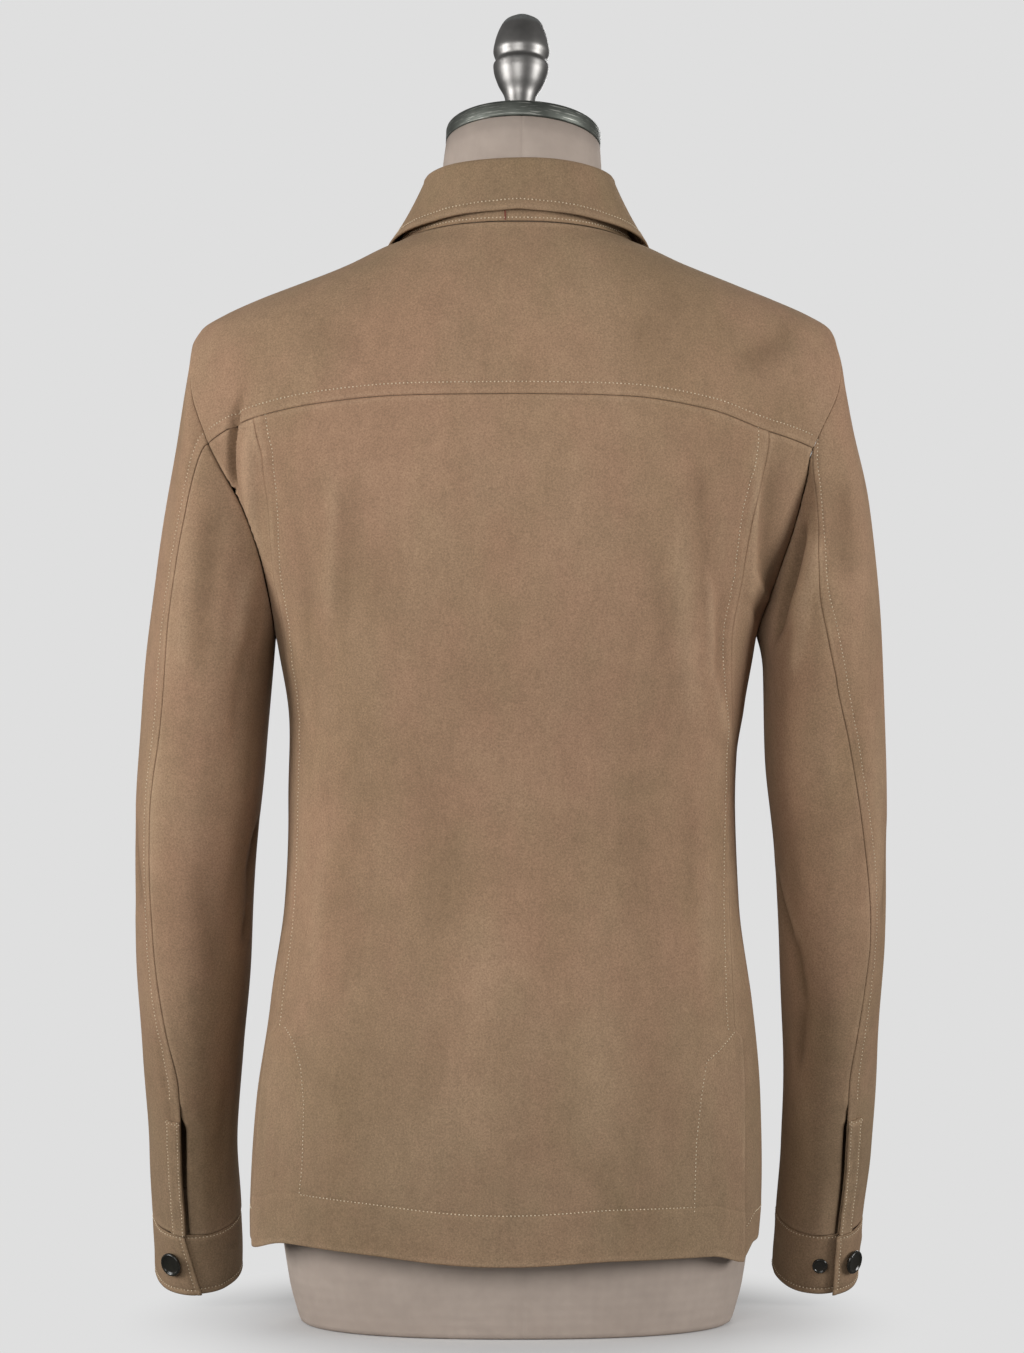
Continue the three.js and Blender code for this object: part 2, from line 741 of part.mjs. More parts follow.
function cuffLift(side, around) {
  const { under, over, stand } = CUFF[side];
  const nearStart = 1 - THREE.MathUtils.smoothstep(around, under + 40, under + 75);
  const nearEnd = THREE.MathUtils.smoothstep(around, 360 + over - 65, 360 + over - 20);
  return stand * nearEnd - 1.2 * nearStart;
}

function onCuff(side, around, z, lift = 0) {
  const surface = (u, v) => {
    const point = armPoint(side, u, v);
    const middle = armPoint(side, u, v).add(armPoint(side, u + 180, v)).multiplyScalar(0.5);
    const away = point.clone().sub(middle).normalize();
    return point.addScaledVector(away, cuffLift(side, u));
  };
  const hand = side === 'left' ? 1 : -1;
  const out = outward(surface, around, z, 1, 1, hand);
  return { point: surface(around, z).addScaledVector(out, lift), out };
}

function makeCuff(side) {
  const { under, over, overHem } = CUFF[side];
  const rows = steps(0, 1, 2).map((share) => (
    steps(under, 360 + mix(over, overHem, share), 26).map((around) => (
      onCuff(side, around, mix(SLEEVE.cuff, SLEEVE.end, share))
    ))
  ));
  wall(`cuff_${side}`, rows);
}

// Buttons: a turned disc with a raised rim, seated just off the cloth.
function makeButton(name, seat, { radius, height }) {
  const profile = [
    [0, 0],
    [radius * 0.8, 0],
    [radius, height * 0.4],
    [radius * 0.96, height * 0.85],
    [radius * 0.86, height],
    [radius * 0.7, height * 0.7],
    [0, height * 0.55],
  ].map(([across, up]) => new THREE.Vector2(across, up));
  const geometry = new THREE.LatheGeometry(profile, 20);
  const mesh = addMesh(name, geometry, horn);
  mesh.quaternion.setFromUnitVectors(new THREE.Vector3(0, 1, 0), seat.out);
  mesh.position.copy(seat.point);
}

function makeButtons() {
  const middle = (SLEEVE.cuff + SLEEVE.end) / 2;
  makeButton('cuff_button_left', onCuff('left', 360 + 63, middle, 0.7), BUTTON);
  makeButton('cuff_button_right', onCuff('right', 360 + 50, middle, 0.7), BUTTON);
  makeButton('cuff_stud_right', onCuff('right', 92, middle, 0.5), STUD);
  steps(662, 130, 5).forEach((z, i) => {
    const seat = onBody(spot(frontTurn(0, z), z), SUEDE + SEAM + 0.5);
    makeButton(`front_button_${i + 1}`, seat, BUTTON);
  });
}

// Dress form

// A closed solid from rings of points, one above another, with flat ends.
function stack(name, rings, material) {
  const count = rings[0].length;
  const positions = rings.flat().flatMap((point) => point.toArray());
  const faces = [];
  for (let r = 0; r < rings.length - 1; r += 1) {
    for (let c = 0; c < count; c += 1) {
      const [a, b] = [r * count + c, r * count + ((c + 1) % count)];
      faces.push(a, b, b + count, a, b + count, a + count);
    }
  }
  const top = (rings.length - 1) * count;
  for (let c = 1; c < count - 1; c += 1) {
    faces.push(0, c + 1, c, top, top + c, top + c + 1);
  }
  addMesh(name, closedGeometry(positions, faces), material);
}

const FORM_TURNS = steps(0, 360, 32).slice(0, -1);
const FORM_TOP = 752;
const FORM_SHOULDERS = [660, 690, 700, 712, 725, 741, FORM_TOP];
const FORM_HEIGHTS = [0, 30, 65, 100, 180, 260, 330, 390, 450, 510, 570, 620, ...FORM_SHOULDERS];
const NECK_RADIUS = 58;

// Above the chest the front of the torso comes out to meet the neck.
function formPoint(turn, z) {
  const point = ring(formBody(z), turn, z);
  const reach = Math.hypot(point.x, point.y);
  const throat = NECK_RADIUS * THREE.MathUtils.smoothstep(z, 640, 712);
  const share = Math.max(1, throat / reach);
  return new THREE.Vector3(point.x * share, point.y * share, z);
}

function makeForm() {
  stack('form_torso', FORM_HEIGHTS.map((z) => FORM_TURNS.map((turn) => formPoint(turn, z))), linen);

  // The neck rises from the torso and is cut by the slanted underside of the cap.
  const { x, y, z: capZ, pitch, roll } = NECK_CAP;
  const levels = [[FORM_TOP + SEAM, NECK_RADIUS], [790, 57.5], [capZ, 54.6]];
  const rings = levels.map(([z, half]) => FORM_TURNS.map((turn) => {
    const share = (z - FORM_TOP) / (capZ - FORM_TOP);
    const point = new THREE.Vector3(half * cosine(turn), half * 0.99 * sine(turn), 0);
    const slant = z === capZ ? point.y * sine(pitch) + point.x * sine(roll) - SEAM : 0;
    if (z === capZ) point.y *= cosine(pitch);
    return point.add(new THREE.Vector3(mix(-2, x, share), mix(0, y, share), z + slant));
  }));
  stack('form_neck', rings, linen);
}

// Cap and finial stand square to the slanted top of the neck.
function makeCap() {
  const { radius, height, x, y, z, pitch, roll } = NECK_CAP;
  const axis = new THREE.Vector3(-sine(roll), -sine(pitch), cosine(pitch)).normalize();
  const place = (mesh) => {
    mesh.quaternion.setFromUnitVectors(new THREE.Vector3(0, 1, 0), axis);
    mesh.position.set(x, y, z);
  };
  const profile = [
    [0, 0],
    [radius - 0.8, 0],
    [radius, 0.8],
    [radius, height - 1.4],
    [radius - 1.4, height],
    [0, height],
  ];
  place(addMesh('neck_cap', new THREE.LatheGeometry(vectors(profile), 32), castMetal));
  const raised = FINIAL.map(([across, up]) => [across, up + height]);
  const closed = [[0, raised[0][1]], ...raised, [0, height + 88.5]];
  const finial = addMesh('finial', new THREE.LatheGeometry(vectors(closed), 24), polishedMetal);
  place(finial);
  finial.translateX(3); // it is screwed in a little off the middle
}

function vectors(pairs) {
  return pairs.map(([across, up]) => new THREE.Vector2(across, up));
}

makeYoke();
makeBack();
for (const side of ['left', 'right']) {
  makeSidePanel(side);
  makeFront(side);
  makeSleeve(side);
  makePlacket(side);
  makeCuff(side);
}
makeBand();
makeStand();
makeLeaf();
makeButtons();
makeForm();
makeCap();

export default jacket;
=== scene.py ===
"""A suede shirt jacket on a limbless dress form, seen from behind.

Sizes in the sections are in millimetres and finished meshes in metres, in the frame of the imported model:
+Z up, the wearer's left at +X and the back of the jacket facing +Y. Blender 4.5.
"""

from functools import partial

import bpy
import numpy as np
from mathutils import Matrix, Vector


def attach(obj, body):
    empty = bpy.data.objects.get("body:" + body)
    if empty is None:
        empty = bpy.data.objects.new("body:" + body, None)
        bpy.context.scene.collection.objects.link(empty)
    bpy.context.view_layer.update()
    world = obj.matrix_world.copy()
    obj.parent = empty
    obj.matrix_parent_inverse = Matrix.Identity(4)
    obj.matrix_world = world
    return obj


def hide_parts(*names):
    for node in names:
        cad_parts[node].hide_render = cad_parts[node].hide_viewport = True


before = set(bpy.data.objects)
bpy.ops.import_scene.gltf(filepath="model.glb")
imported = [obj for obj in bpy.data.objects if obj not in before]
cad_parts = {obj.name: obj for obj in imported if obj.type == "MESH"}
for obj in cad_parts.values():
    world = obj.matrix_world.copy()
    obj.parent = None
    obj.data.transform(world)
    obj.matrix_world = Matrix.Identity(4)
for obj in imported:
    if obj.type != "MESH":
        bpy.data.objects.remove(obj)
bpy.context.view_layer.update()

# ---------------------------------------------------------------------------------------------------------
# Studio: a plain pale floor that fades into a pale surround, a broad soft light at each side, one by the
# camera and a weak one over the front. The camera stands level, straight behind the jacket.

MM = 0.001
CAMERA = {"across": 2.8, "away": 2800, "up": 463, "lens": 105.3, "shift": -0.0089}
SURROUND = "#DFDFDF"
FLOOR_HALF = 60000
SOFTBOXES = [  # place in metres, side in metres, power in watts
    ("left_softbox", (2.6, 1.0, 0.9), 1.3, 54),
    ("right_softbox", (-2.6, 1.0, 0.9), 1.2, 50),
    ("near_softbox", (0.5, 1.9, 0.95), 0.9, 15),
    ("front_softbox", (-0.6, -2.8, 1.2), 1.3, 26),
]
JACKET_MIDDLE = Vector((0, 0, 0.52))


def linear(code):
    """A colour's sRGB hex value, turned to linear."""
    parts = [int(code[i : i + 2], 16) / 255 for i in (1, 3, 5)]
    return [p / 12.92 if p <= 0.04045 else ((p + 0.055) / 1.055) ** 2.4 for p in parts] + [1.0]


def add(tree, kind, feeds=None, **settings):
    """Adds a node with its settings. feeds holds its inputs: a value, a colour's hex value, an output that is
    linked to it, or a node whose first output in use is. A kind with no prefix is a shader node."""
    node = tree.nodes.new(kind if "Node" in kind else "ShaderNode" + kind)
    for name, value in settings.items():
        setattr(node, name, value)
    for name, value in (feeds or {}).items():
        named = [socket for socket in node.inputs if socket.enabled and socket.name == name]
        socket = named[0] if named else node.inputs[name]
        if isinstance(value, bpy.types.Node):
            value = next(output for output in value.outputs if output.enabled)
        if isinstance(value, bpy.types.NodeSocket):
            tree.links.new(value, socket)
        else:
            socket.default_value = linear(value) if isinstance(value, str) else value
    return node


def new_material(name):
    """An empty material, and the function that adds a node to it."""
    material = bpy.data.materials.new(name)
    material.use_nodes = True
    material.node_tree.nodes.clear()
    return material, partial(add, material.node_tree)


def put_in_scene(name, data):
    made = bpy.data.objects.new(name, data)
    bpy.context.scene.collection.objects.link(made)
    return made


def new_mesh(name, points, faces, material):
    """A smooth object from points in millimetres and a list of faces."""
    mesh = bpy.data.meshes.new(name)
    mesh.from_pydata((np.asarray(points) * MM).tolist(), [], [list(map(int, f)) for f in faces])
    mesh.materials.append(material)
    mesh.shade_smooth()
    mesh.update()
    return put_in_scene(name, mesh)


# Painted studio floor: dull and even. Away from the form it turns into the surround's own light, so that no
# line shows where they meet.
floor_paint, node = new_material("matt_painted_floor")
reach = node("VectorMath", {0: node("TexCoord").outputs["Object"]}, operation="LENGTH")
fade = node("MapRange", {"Value": reach, "From Min": 0.1, "From Max": 0.29}, interpolation_type="SMOOTHSTEP")
paint = node("BsdfDiffuse", {"Color": "#D6D6D6"})
strength = node("MapRange", {"Value": node("LightPath").outputs["Is Camera Ray"], "To Min": 0.15})
glow = node("Emission", {"Color": SURROUND, "Strength": strength})
node("OutputMaterial", {"Surface": node("MixShader", {0: fade, 1: paint, 2: glow})})
corners = [(x * FLOOR_HALF, y * FLOOR_HALF, -0.4) for x, y in ((-1, -1), (1, -1), (1, 1), (-1, 1))]
new_mesh("floor", corners, [(0, 1, 2, 3)], floor_paint)

world = bpy.data.worlds.new("pale_surround")
bpy.context.scene.world = world
world.use_nodes = True
world.node_tree.nodes.clear()
node = partial(add, world.node_tree)
sky, dim_sky = (node("Background", {"Color": SURROUND, "Strength": power}) for power in (1.0, 0.27))
seen = node("LightPath").outputs["Is Camera Ray"]
node("OutputWorld", {"Surface": node("MixShader", {0: seen, 1: dim_sky, 2: sky})})
bpy.context.scene.view_settings.view_transform = "Standard"

for name, spot, side, power in SOFTBOXES:
    softbox = bpy.data.lights.new(name, "AREA")
    softbox.size = side
    softbox.energy = power
    lamp = put_in_scene(name, softbox)
    lamp.location = spot
    lamp.rotation_euler = (JACKET_MIDDLE - lamp.location).to_track_quat("-Z", "Y").to_euler()

lens = bpy.data.cameras.new("camera")
lens.lens = CAMERA["lens"]
lens.shift_y = CAMERA["shift"]
lens.clip_end = 200
camera = put_in_scene("camera", lens)
camera.location = Vector((CAMERA["across"], CAMERA["away"], CAMERA["up"])) * MM
camera.rotation_euler = (np.pi / 2, 0, np.pi)
bpy.context.scene.camera = camera

# ---------------------------------------------------------------------------------------------------------
# Dress form: a man's torso and neck with no limbs, padded and covered in natural linen with one seam down
# the middle of the back. It stands on its flat base, and the yoke rests on its shoulders.

CORNER = 2.3  # how square a section's corners are: at 2 it is an oval
FORM = {"top": 752, "neck": 58, "seam_width": 0.8, "seam_depth": 0.5}
CAP = {"radius": 54.8, "height": 12, "x": -5, "y": -4, "z": 829.8, "pitch": 16, "roll": 1.6}
FORM_SECTIONS = [  # height, half width, depth behind, depth in front
    (0, 152, 86, 84),
    (30, 160, 94, 92),
    (100, 168, 103, 98),
    (180, 164, 103, 98),
    (260, 153, 95, 95),
    (330, 147, 88, 94),
    (390, 147, 88, 97),
    (450, 153, 96, 103),
    (510, 163, 104, 106),
    (570, 176, 103, 103),
    (620, 188, 98, 95),
    (660, 197, 91, 85),
    (690, 199, 83.5, 73),
    (712, 190.5, 79.5, 62),
    (725, 159.8, 77, 55),
    (741, 119.8, 73, 44),
    (752, 95.5, 69, 33),
]


def curve_through(rows):
    """Reads a short table at any value of its first column, along a curve that never overshoots a row."""
    table = np.array(rows, float)
    at, values = table[:, 0], table[:, 1:]
    step = np.diff(at)[:, None]
    rise = np.diff(values, axis=0) / step
    slope = np.zeros_like(values)
    slope[0], slope[-1] = rise[0], rise[-1]
    before, after = rise[:-1], rise[1:]
    same = before * after > 0
    slope[1:-1][same] = 2 * before[same] * after[same] / (before[same] + after[same])

    def read(x):
        x = np.asarray(x, float)
        i = np.clip(np.searchsorted(at, x, side="right") - 1, 0, len(at) - 2)
        t = np.clip((x - at[i]) / step[i, 0], 0, 1)[..., None]
        bend = (1 - t) * slope[i] - t * slope[i + 1]
        found = values[i] + (values[i + 1] - values[i]) * t * t * (3 - 2 * t) + step[i] * t * (1 - t) * bend
        return np.moveaxis(found, -1, 0)

    return read


def smooth_step(x, low, high):
    t = np.clip((np.asarray(x, float) - low) / (high - low), 0, 1)
    return t * t * (3 - 2 * t)


def mix(first, second, share):
    return first + (second - first) * share


def sine(degrees):
    return np.sin(np.radians(degrees))


def cosine(degrees):
    return np.cos(np.radians(degrees))


def signed_power(value, power):
    return np.sign(value) * np.abs(value) ** power


def section(half, back, front, shift, turn, z):
    """A point on a rounded section. Turn is 0 at the wearer's left and 90 at the back."""
    c, s = cosine(turn), sine(turn)
    depth = np.where(s > 0, back, front)
    x = shift + half * signed_power(c, 2 / CORNER)
    return np.stack(np.broadcast_arrays(x, depth * signed_power(s, 2 / CORNER), z), -1)


def fit(piece, node):
    """The piece stands for its CAD node and moves with the one body."""
    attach(piece, "root")
    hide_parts(node)
    return piece


def rings_to_mesh(name, rings, material):
    """A closed solid from rings of points, one above another, with a UV map in metres round and up."""
    rings = np.asarray(rings, float)
    levels, count = rings.shape[:2]
    index = np.arange(levels * count).reshape(levels, count)
    below, above = index[:-1], index[1:]
    sides = np.stack([below, np.roll(below, -1, 1), np.roll(above, -1, 1), above], -1).reshape(-1, 4)
    made = new_mesh(name, rings.reshape(-1, 3), [*sides, index[0][::-1], index[-1]], material)
    around = np.linalg.norm(np.diff(rings[levels // 2], axis=0, append=rings[levels // 2][:1]), axis=1)
    along = np.concatenate([[0], np.cumsum(around)])
    up = np.concatenate([[0], np.cumsum(np.linalg.norm(np.diff(rings[:, 0], axis=0), axis=1))])
    layer = made.data.uv_layers.new(name="Cloth").data
    for face in made.data.polygons:
        seam = len(face.vertices) == 4 and {v % count for v in face.vertices} == {0, count - 1}
        for loop in face.loop_indices:
            row, column = divmod(made.data.loops[loop].vertex_index, count)
            layer[loop].uv = (along[count if seam and column == 0 else column] * MM, up[row] * MM)
    return made


# Natural linen, plain woven and sized: matt, with slubs. Its threads are 0.6 mm apart, drawn at 1.2 mm so
# that the weave shows.
linen, node = new_material("natural_linen")
place = node("TexCoord").outputs
threads = {"Vector": place["UV"], "Scale": 1 / (20 * 1.2 * MM), "Distortion": 1.4, "Detail": 2.0}
weft, warp = (node("TexWave", threads, bands_direction=way).outputs["Fac"] for way in "XY")
slub = node("TexNoise", {"Vector": place["Object"], "Scale": 90.0, "Detail": 5.0})
soil = node("TexNoise", {"Vector": place["Object"], "Scale": 14.0, "Detail": 3.0})
tone = node("Mix", {"Factor": soil, "A": "#9D8E83", "B": "#B9ABA0"}, data_type="RGBA")
flecks = node("MapRange", {"Value": slub, "From Min": 0.3, "From Max": 0.7, "To Min": 0.92})
tone = node("Mix", {"Factor": 1.0, "A": tone, "B": flecks}, data_type="RGBA", blend_type="MULTIPLY")
weave = node("Math", {0: weft, 1: warp}, operation="ADD")
rough = node("Bump", {"Height": weave, "Strength": 0.35, "Distance": 0.25 * MM})
matt = {"Roughness": 0.92, "Specular IOR Level": 0.25}
cloth = node("BsdfPrincipled", {"Base Color": tone, "Normal": rough, **matt})
node("OutputMaterial", {"Surface": cloth})

seam_turns = [90 + side * off for off in (0.35, 0.8, 1.4) for side in (-1, 1)] + [90]
form_turns = np.unique(np.concatenate([np.arange(0, 360, 2.25), seam_turns]))
read_form = curve_through(FORM_SECTIONS)


def linen_seam(points):
    """A shallow groove down the middle of the back."""
    groove = FORM["seam_depth"] * np.exp(-((points[..., 0] + 4) / FORM["seam_width"]) ** 2)
    points[..., 1] -= np.where(points[..., 1] > 0, groove, 0)
    return points


heights = np.concatenate([[0, 1.2, 4], np.arange(12, 744, 8), [748, FORM["top"] - 0.5]])[:, None]
torso = section(*read_form(heights), 0, form_turns, heights)
throat = FORM["neck"] * smooth_step(heights, 640, 712)
torso[..., :2] *= np.maximum(1, throat / np.linalg.norm(torso[..., :2], axis=-1))[..., None]
torso[0, :, :2] *= 0.985
torso[1, :, :2] *= 0.996
fit(rings_to_mesh("form_torso_linen", linen_seam(torso), linen), "form_torso")

NECK_RINGS = [(752.4, 58), (765, 57.9), (778, 57.7), (790, 57.5), (803, 56.9), (816, 56), (CAP["z"], 54.6)]
rings = []
for z, half in NECK_RINGS:
    share = (z - FORM["top"]) / (CAP["z"] - FORM["top"])
    x, y = half * cosine(form_turns), half * 0.99 * sine(form_turns)
    lean = smooth_step(z, 790, CAP["z"])
    slant = lean * (y * sine(CAP["pitch"]) + x * sine(CAP["roll"]) - 0.3)
    y = y * mix(1, cosine(CAP["pitch"]), lean)
    rings.append(np.stack([x + mix(-2, CAP["x"], share), y + mix(0, CAP["y"], share), z + slant], -1))
fit(rings_to_mesh("form_neck_linen", linen_seam(np.array(rings)), linen), "form_neck")

# ---------------------------------------------------------------------------------------------------------
# Neck cap and finial: a sand-cast cap with a turned rim, darkened and scratched by use, and a turned knob
# screwed into it. The knob's dome is left matt and the rest is polished. Both lean forward with the neck.

FINIAL_PROFILE = [  # radius and height above the cap, at even steps along the outline
    *((16, 0.3), (16, 2.5), (10.5, 6), (9.6, 15), (11.2, 25.5), (16.4, 36), (19.4, 45)),
    *((19.9, 49.5), (18.2, 53.5), (20.2, 60.5), (19.2, 68), (16.9, 76), (13, 83.5), (7, 87.5)),
]
CAP_SEAT = (CAP["x"], CAP["y"], CAP["z"])
KNOB_SEAT = (CAP["x"] + 3, CAP["y"], CAP["z"] + 0.09)
CAP_AXIS = (-sine(CAP["roll"]), -sine(CAP["pitch"]), cosine(CAP["pitch"]))


def turned(name, outline, material, seat, axis, count=96):
    """A turned solid from (radius, height) pairs, standing on its seat along its axis."""
    upright = np.array(Vector((0, 0, 1)).rotation_difference(Vector(axis).normalized()).to_matrix())
    turns = np.arange(count) * 360 / count
    rings = [
        np.stack([r * cosine(turns), r * sine(turns), np.full(count, h)], -1) @ upright.T + seat
        for r, h in outline
    ]
    return rings_to_mesh(name, rings, material)


# Cast iron, darkened: dull grey with a greenish cast, and pale scratches round the rim.
cast_iron, node = new_material("darkened_cast_iron")
place = node("TexCoord").outputs
strokes = node("Mapping", {"Vector": place["UV"], "Scale": (60, 900, 1)})
strokes = node("TexNoise", {"Vector": strokes, "Scale": 1.0, "Detail": 4.0})
scratch = node("MapRange", {"Value": strokes, "From Min": 0.56, "From Max": 0.68})
cloud = node("TexNoise", {"Vector": place["Object"], "Scale": 70.0, "Detail": 4.0})
patina = node("Mix", {"Factor": cloud, "A": "#3A3D39", "B": "#757871"}, data_type="RGBA")
wear_and_shade = node("Mix", {"Factor": scratch, "A": patina, "B": "#A9A9A2"}, data_type="RGBA")
dull = node("MapRange", {"Value": cloud, "To Min": 0.38, "To Max": 0.62})
nicks = node("Bump", {"Height": strokes, "Strength": 0.3, "Distance": 0.2 * MM})
skin = node("BsdfPrincipled", {"Base Color": wear_and_shade, "Metallic": 0.85, "Roughness": dull, "Normal": nicks})
node("OutputMaterial", {"Surface": skin})

R, H = CAP["radius"], CAP["height"]
cap_outline = [(R - 5, 0.05), (R - 1.4, 0.05), (R - 0.4, 0.4), (R, 1.3), (R, H - 2.4), (R - 0.4, H - 1)]
cap_outline += [(R - 1.2, H - 0.25), (R - 2.4, H), (R - 12, H), (R * 0.5, H), (R * 0.3, H)]
fit(turned("neck_cap_iron", cap_outline, cast_iron, CAP_SEAT, CAP_AXIS), "neck_cap")

# Turned steel: polished, with fine rings left by the tool, and matt on the dome, which starts 84 mm up the
# knob's outline.
steel, node = new_material("turned_steel")
place = node("TexCoord").outputs
up = node("SeparateXYZ", {"Vector": place["UV"]}).outputs["Y"]
heights = {"Value": up, "From Min": 84 * MM, "From Max": 88 * MM}
dome = node("MapRange", heights, interpolation_type="SMOOTHSTEP")
speck = node("TexNoise", {"Vector": place["Object"], "Scale": 420.0, "Detail": 3.0})
smoke = node("TexNoise", {"Vector": place["Object"], "Scale": 60.0, "Detail": 3.0})
bright = node("Mix", {"Factor": smoke, "A": "#6C6B69", "B": "#A3A09D"}, data_type="RGBA")
matt = node("Mix", {"Factor": speck, "A": "#7E807E", "B": "#A8AAA8"}, data_type="RGBA")
tint = node("Mix", {"Factor": dome, "A": bright, "B": matt}, data_type="RGBA")
gloss = node("MapRange", {"Value": dome, "To Min": 0.42, "To Max": 0.6})
tool_marks = {"Vector": place["UV"], "Scale": 1 / (20 * 0.9 * MM), "Distortion": 1.0}
rings = node("TexWave", tool_marks, bands_direction="Y").outputs["Fac"]
tooling = node("Bump", {"Height": rings, "Strength": 0.08, "Distance": 0.1 * MM})
skin = node("BsdfPrincipled", {"Base Color": tint, "Metallic": 1.0, "Roughness": gloss, "Normal": tooling})
node("OutputMaterial", {"Surface": skin})

read_finial = curve_through([(k, *row) for k, row in enumerate(FINIAL_PROFILE)])
radius, rise = read_finial(np.linspace(0, len(FINIAL_PROFILE) - 1, 80))
rim_radius, rim_rise = FINIAL_PROFILE[-1]
crown = [(rim_radius * cosine(a), rim_rise + 0.9 * sine(a) + H) for a in (25, 50, 75)]
finial_outline = [*zip(radius, rise + H), *crown]
fit(turned("finial_steel", finial_outline, steel, KNOB_SEAT, CAP_AXIS), "finial")

# ---------------------------------------------------------------------------------------------------------
# Suede: calf split, buffed to a short nap, 1.6 mm thick. Every piece of the jacket is a shell on its own
# outline, with its edges rolled into the seams, its topstitching and the folds it hangs in.

SUEDE = {"thickness": 1.6, "gap": 0.12, "pitch": 2.8}
STITCH = {"pitch": 2.7, "length": 1.15, "radius": 0.5}

# Suede leather: dull, cloudy where the nap lies one way or the other, paler where it is rubbed on rolled
# edges, with a painted highlight on ridges and painted shade in hollows and right at the edges. It is darker
# and a little olive low down, as painted shade where less light falls, and darker and a little olive at the
# collar.
# Its nap is 0.3 mm, drawn at 1.25 mm so that the grain shows.
suede, node = new_material("tan_calf_suede")
place = node("TexCoord").outputs["Object"]
drift, strokes = (node("Mapping", {"Vector": place, "Scale": (1.0, 1.0, tall)}) for tall in (0.62, 0.3))
PATTERNS = [  # coordinates, size in mm, detail, roughness, distortion
    (drift, 85, 4.0, 0.55, 0.6),
    (drift, 60, 3.0, 0.6, 0.0),
    (strokes, 7, 4.0, 0.65, 0.0),
    (place, 16, 5.0, 0.62, 0.4),
    (place, 1.25, 3.0, 0.8, 0.0),
]
names = ("Vector", "Scale", "Detail", "Roughness", "Distortion")
cloud, hue, brushed, mottle, grain = (
    node("TexNoise", dict(zip(names, (spot, 1 / (size * MM), *rest)))) for spot, size, *rest in PATTERNS
)
cloud_share = node("MapRange", {"Value": cloud, "From Min": 0.3, "From Max": 0.7})
hue_share = node("MapRange", {"Value": hue, "From Min": 0.4, "From Max": 0.65, "To Max": 0.5})
tone = node("Mix", {"Factor": cloud_share, "A": "#92785E", "B": "#9C8067"}, data_type="RGBA")
tone = node("Mix", {"Factor": hue_share, "A": tone, "B": "#A07D66"}, data_type="RGBA")
up = node("SeparateXYZ", {"Vector": place}).outputs["Z"]
# Two bands multiplied into the suede, from and to a height: the low one is painted shade, darker towards the
# hem where less light falls, with a little olive; the one at the collar makes the suede darker and a little
# olive.
SHADE_AND_TINT_BANDS = [(330, 60, (0.8, 0.845, 0.835, 1.0)), (670, 790, (0.82, 0.855, 0.83, 1.0))]  # from and to a height
for start, end, darkening in SHADE_AND_TINT_BANDS:
    heights = {"Value": up, "From Min": start * MM, "From Max": end * MM}
    share = node("MapRange", heights, interpolation_type="SMOOTHSTEP")
    wear_and_shade = node("Mix", {"Factor": share, "A": (1.0, 1.0, 1.0, 1.0), "B": darkening}, data_type="RGBA")
    tone = node("Mix", {"Factor": 1.0, "A": tone, "B": wear_and_shade}, data_type="RGBA", blend_type="MULTIPLY")
# The nap attribute holds rubbed edges and painted light: a painted highlight on ridges (towards the pale
# tan), and painted shade in hollows and right at the edges.
nap_and_painted_light = node("Attribute", attribute_name="nap_and_painted_light").outputs["Fac"]
rubbed_and_painted_light = node("MapRange", {"Value": nap_and_painted_light, "To Max": 0.5})
# Painted shade: hollows and the very edges darken towards this brown.
painted_hollow_shade = node("MapRange", {"Value": nap_and_painted_light, "From Max": -1.3, "To Max": 0.75})
tone = node("Mix", {"Factor": rubbed_and_painted_light, "A": tone, "B": "#C2A688"}, data_type="RGBA")
tone = node("Mix", {"Factor": painted_hollow_shade, "A": tone, "B": "#6A5540"}, data_type="RGBA")
for pattern, sway in ((brushed, 0.05), (mottle, 0.06), (grain, 0.26)):
    limits = {"From Min": 0.3, "From Max": 0.7, "To Min": 1 - sway, "To Max": 1 + sway}
    shade = node("MapRange", {"Value": pattern, **limits})
    tone = node("Mix", {"Factor": 1.0, "A": tone, "B": shade}, data_type="RGBA", blend_type="MULTIPLY")
hair = node("Bump", {"Height": grain, "Strength": 0.35, "Distance": 0.3 * MM})
handle = node("Bump", {"Height": brushed, "Strength": 0.25, "Distance": 0.6 * MM, "Normal": hair})
bloom = {"Sheen Weight": 0.12, "Sheen Roughness": 0.6, "Sheen Tint": "#D8C3A8"}
dull = {"Roughness": 0.95, "Specular IOR Level": 0.12}
skin = node("BsdfPrincipled", {"Base Color": tone, "Normal": handle, **dull, **bloom})
node("OutputMaterial", {"Surface": skin})


def spun_thread(name, dark, pale, fibre, detail, roughness):
    """A sewing thread, a little uneven in tone along its fibres."""
    made, node = new_material(name)
    place = node("TexCoord").outputs["Object"]
    ply = node("TexNoise", {"Vector": place, "Scale": 1 / (fibre * MM), "Detail": detail})
    tone = node("Mix", {"Factor": ply, "A": dark, "B": pale}, data_type="RGBA")
    node("OutputMaterial", {"Surface": node("BsdfPrincipled", {"Base Color": tone, "Roughness": roughness})})
    return made


# Polyester topstitching thread, a shade paler than the suede, with a soft shine.
thread = spun_thread("polyester_thread", "#C9B596", "#EADBC0", 2, 1.0, 0.6)


def edge(stitch=None):
    """Distances in from an edge at which grid lines lie: close over its roll and at its topstitching."""
    roll = [SUEDE["gap"] / 2, 0.6, 1.3, 2.4]
    if stitch is None:
        return roll
    near = stitch + np.array([-1.3, -0.6, 0, 0.6, 1.3])
    between = np.arange(roll[-1] + SUEDE["pitch"], near[0] - 1, SUEDE["pitch"])
    return [*(d for d in roll if d < near[0] - 0.4), *between, *near]


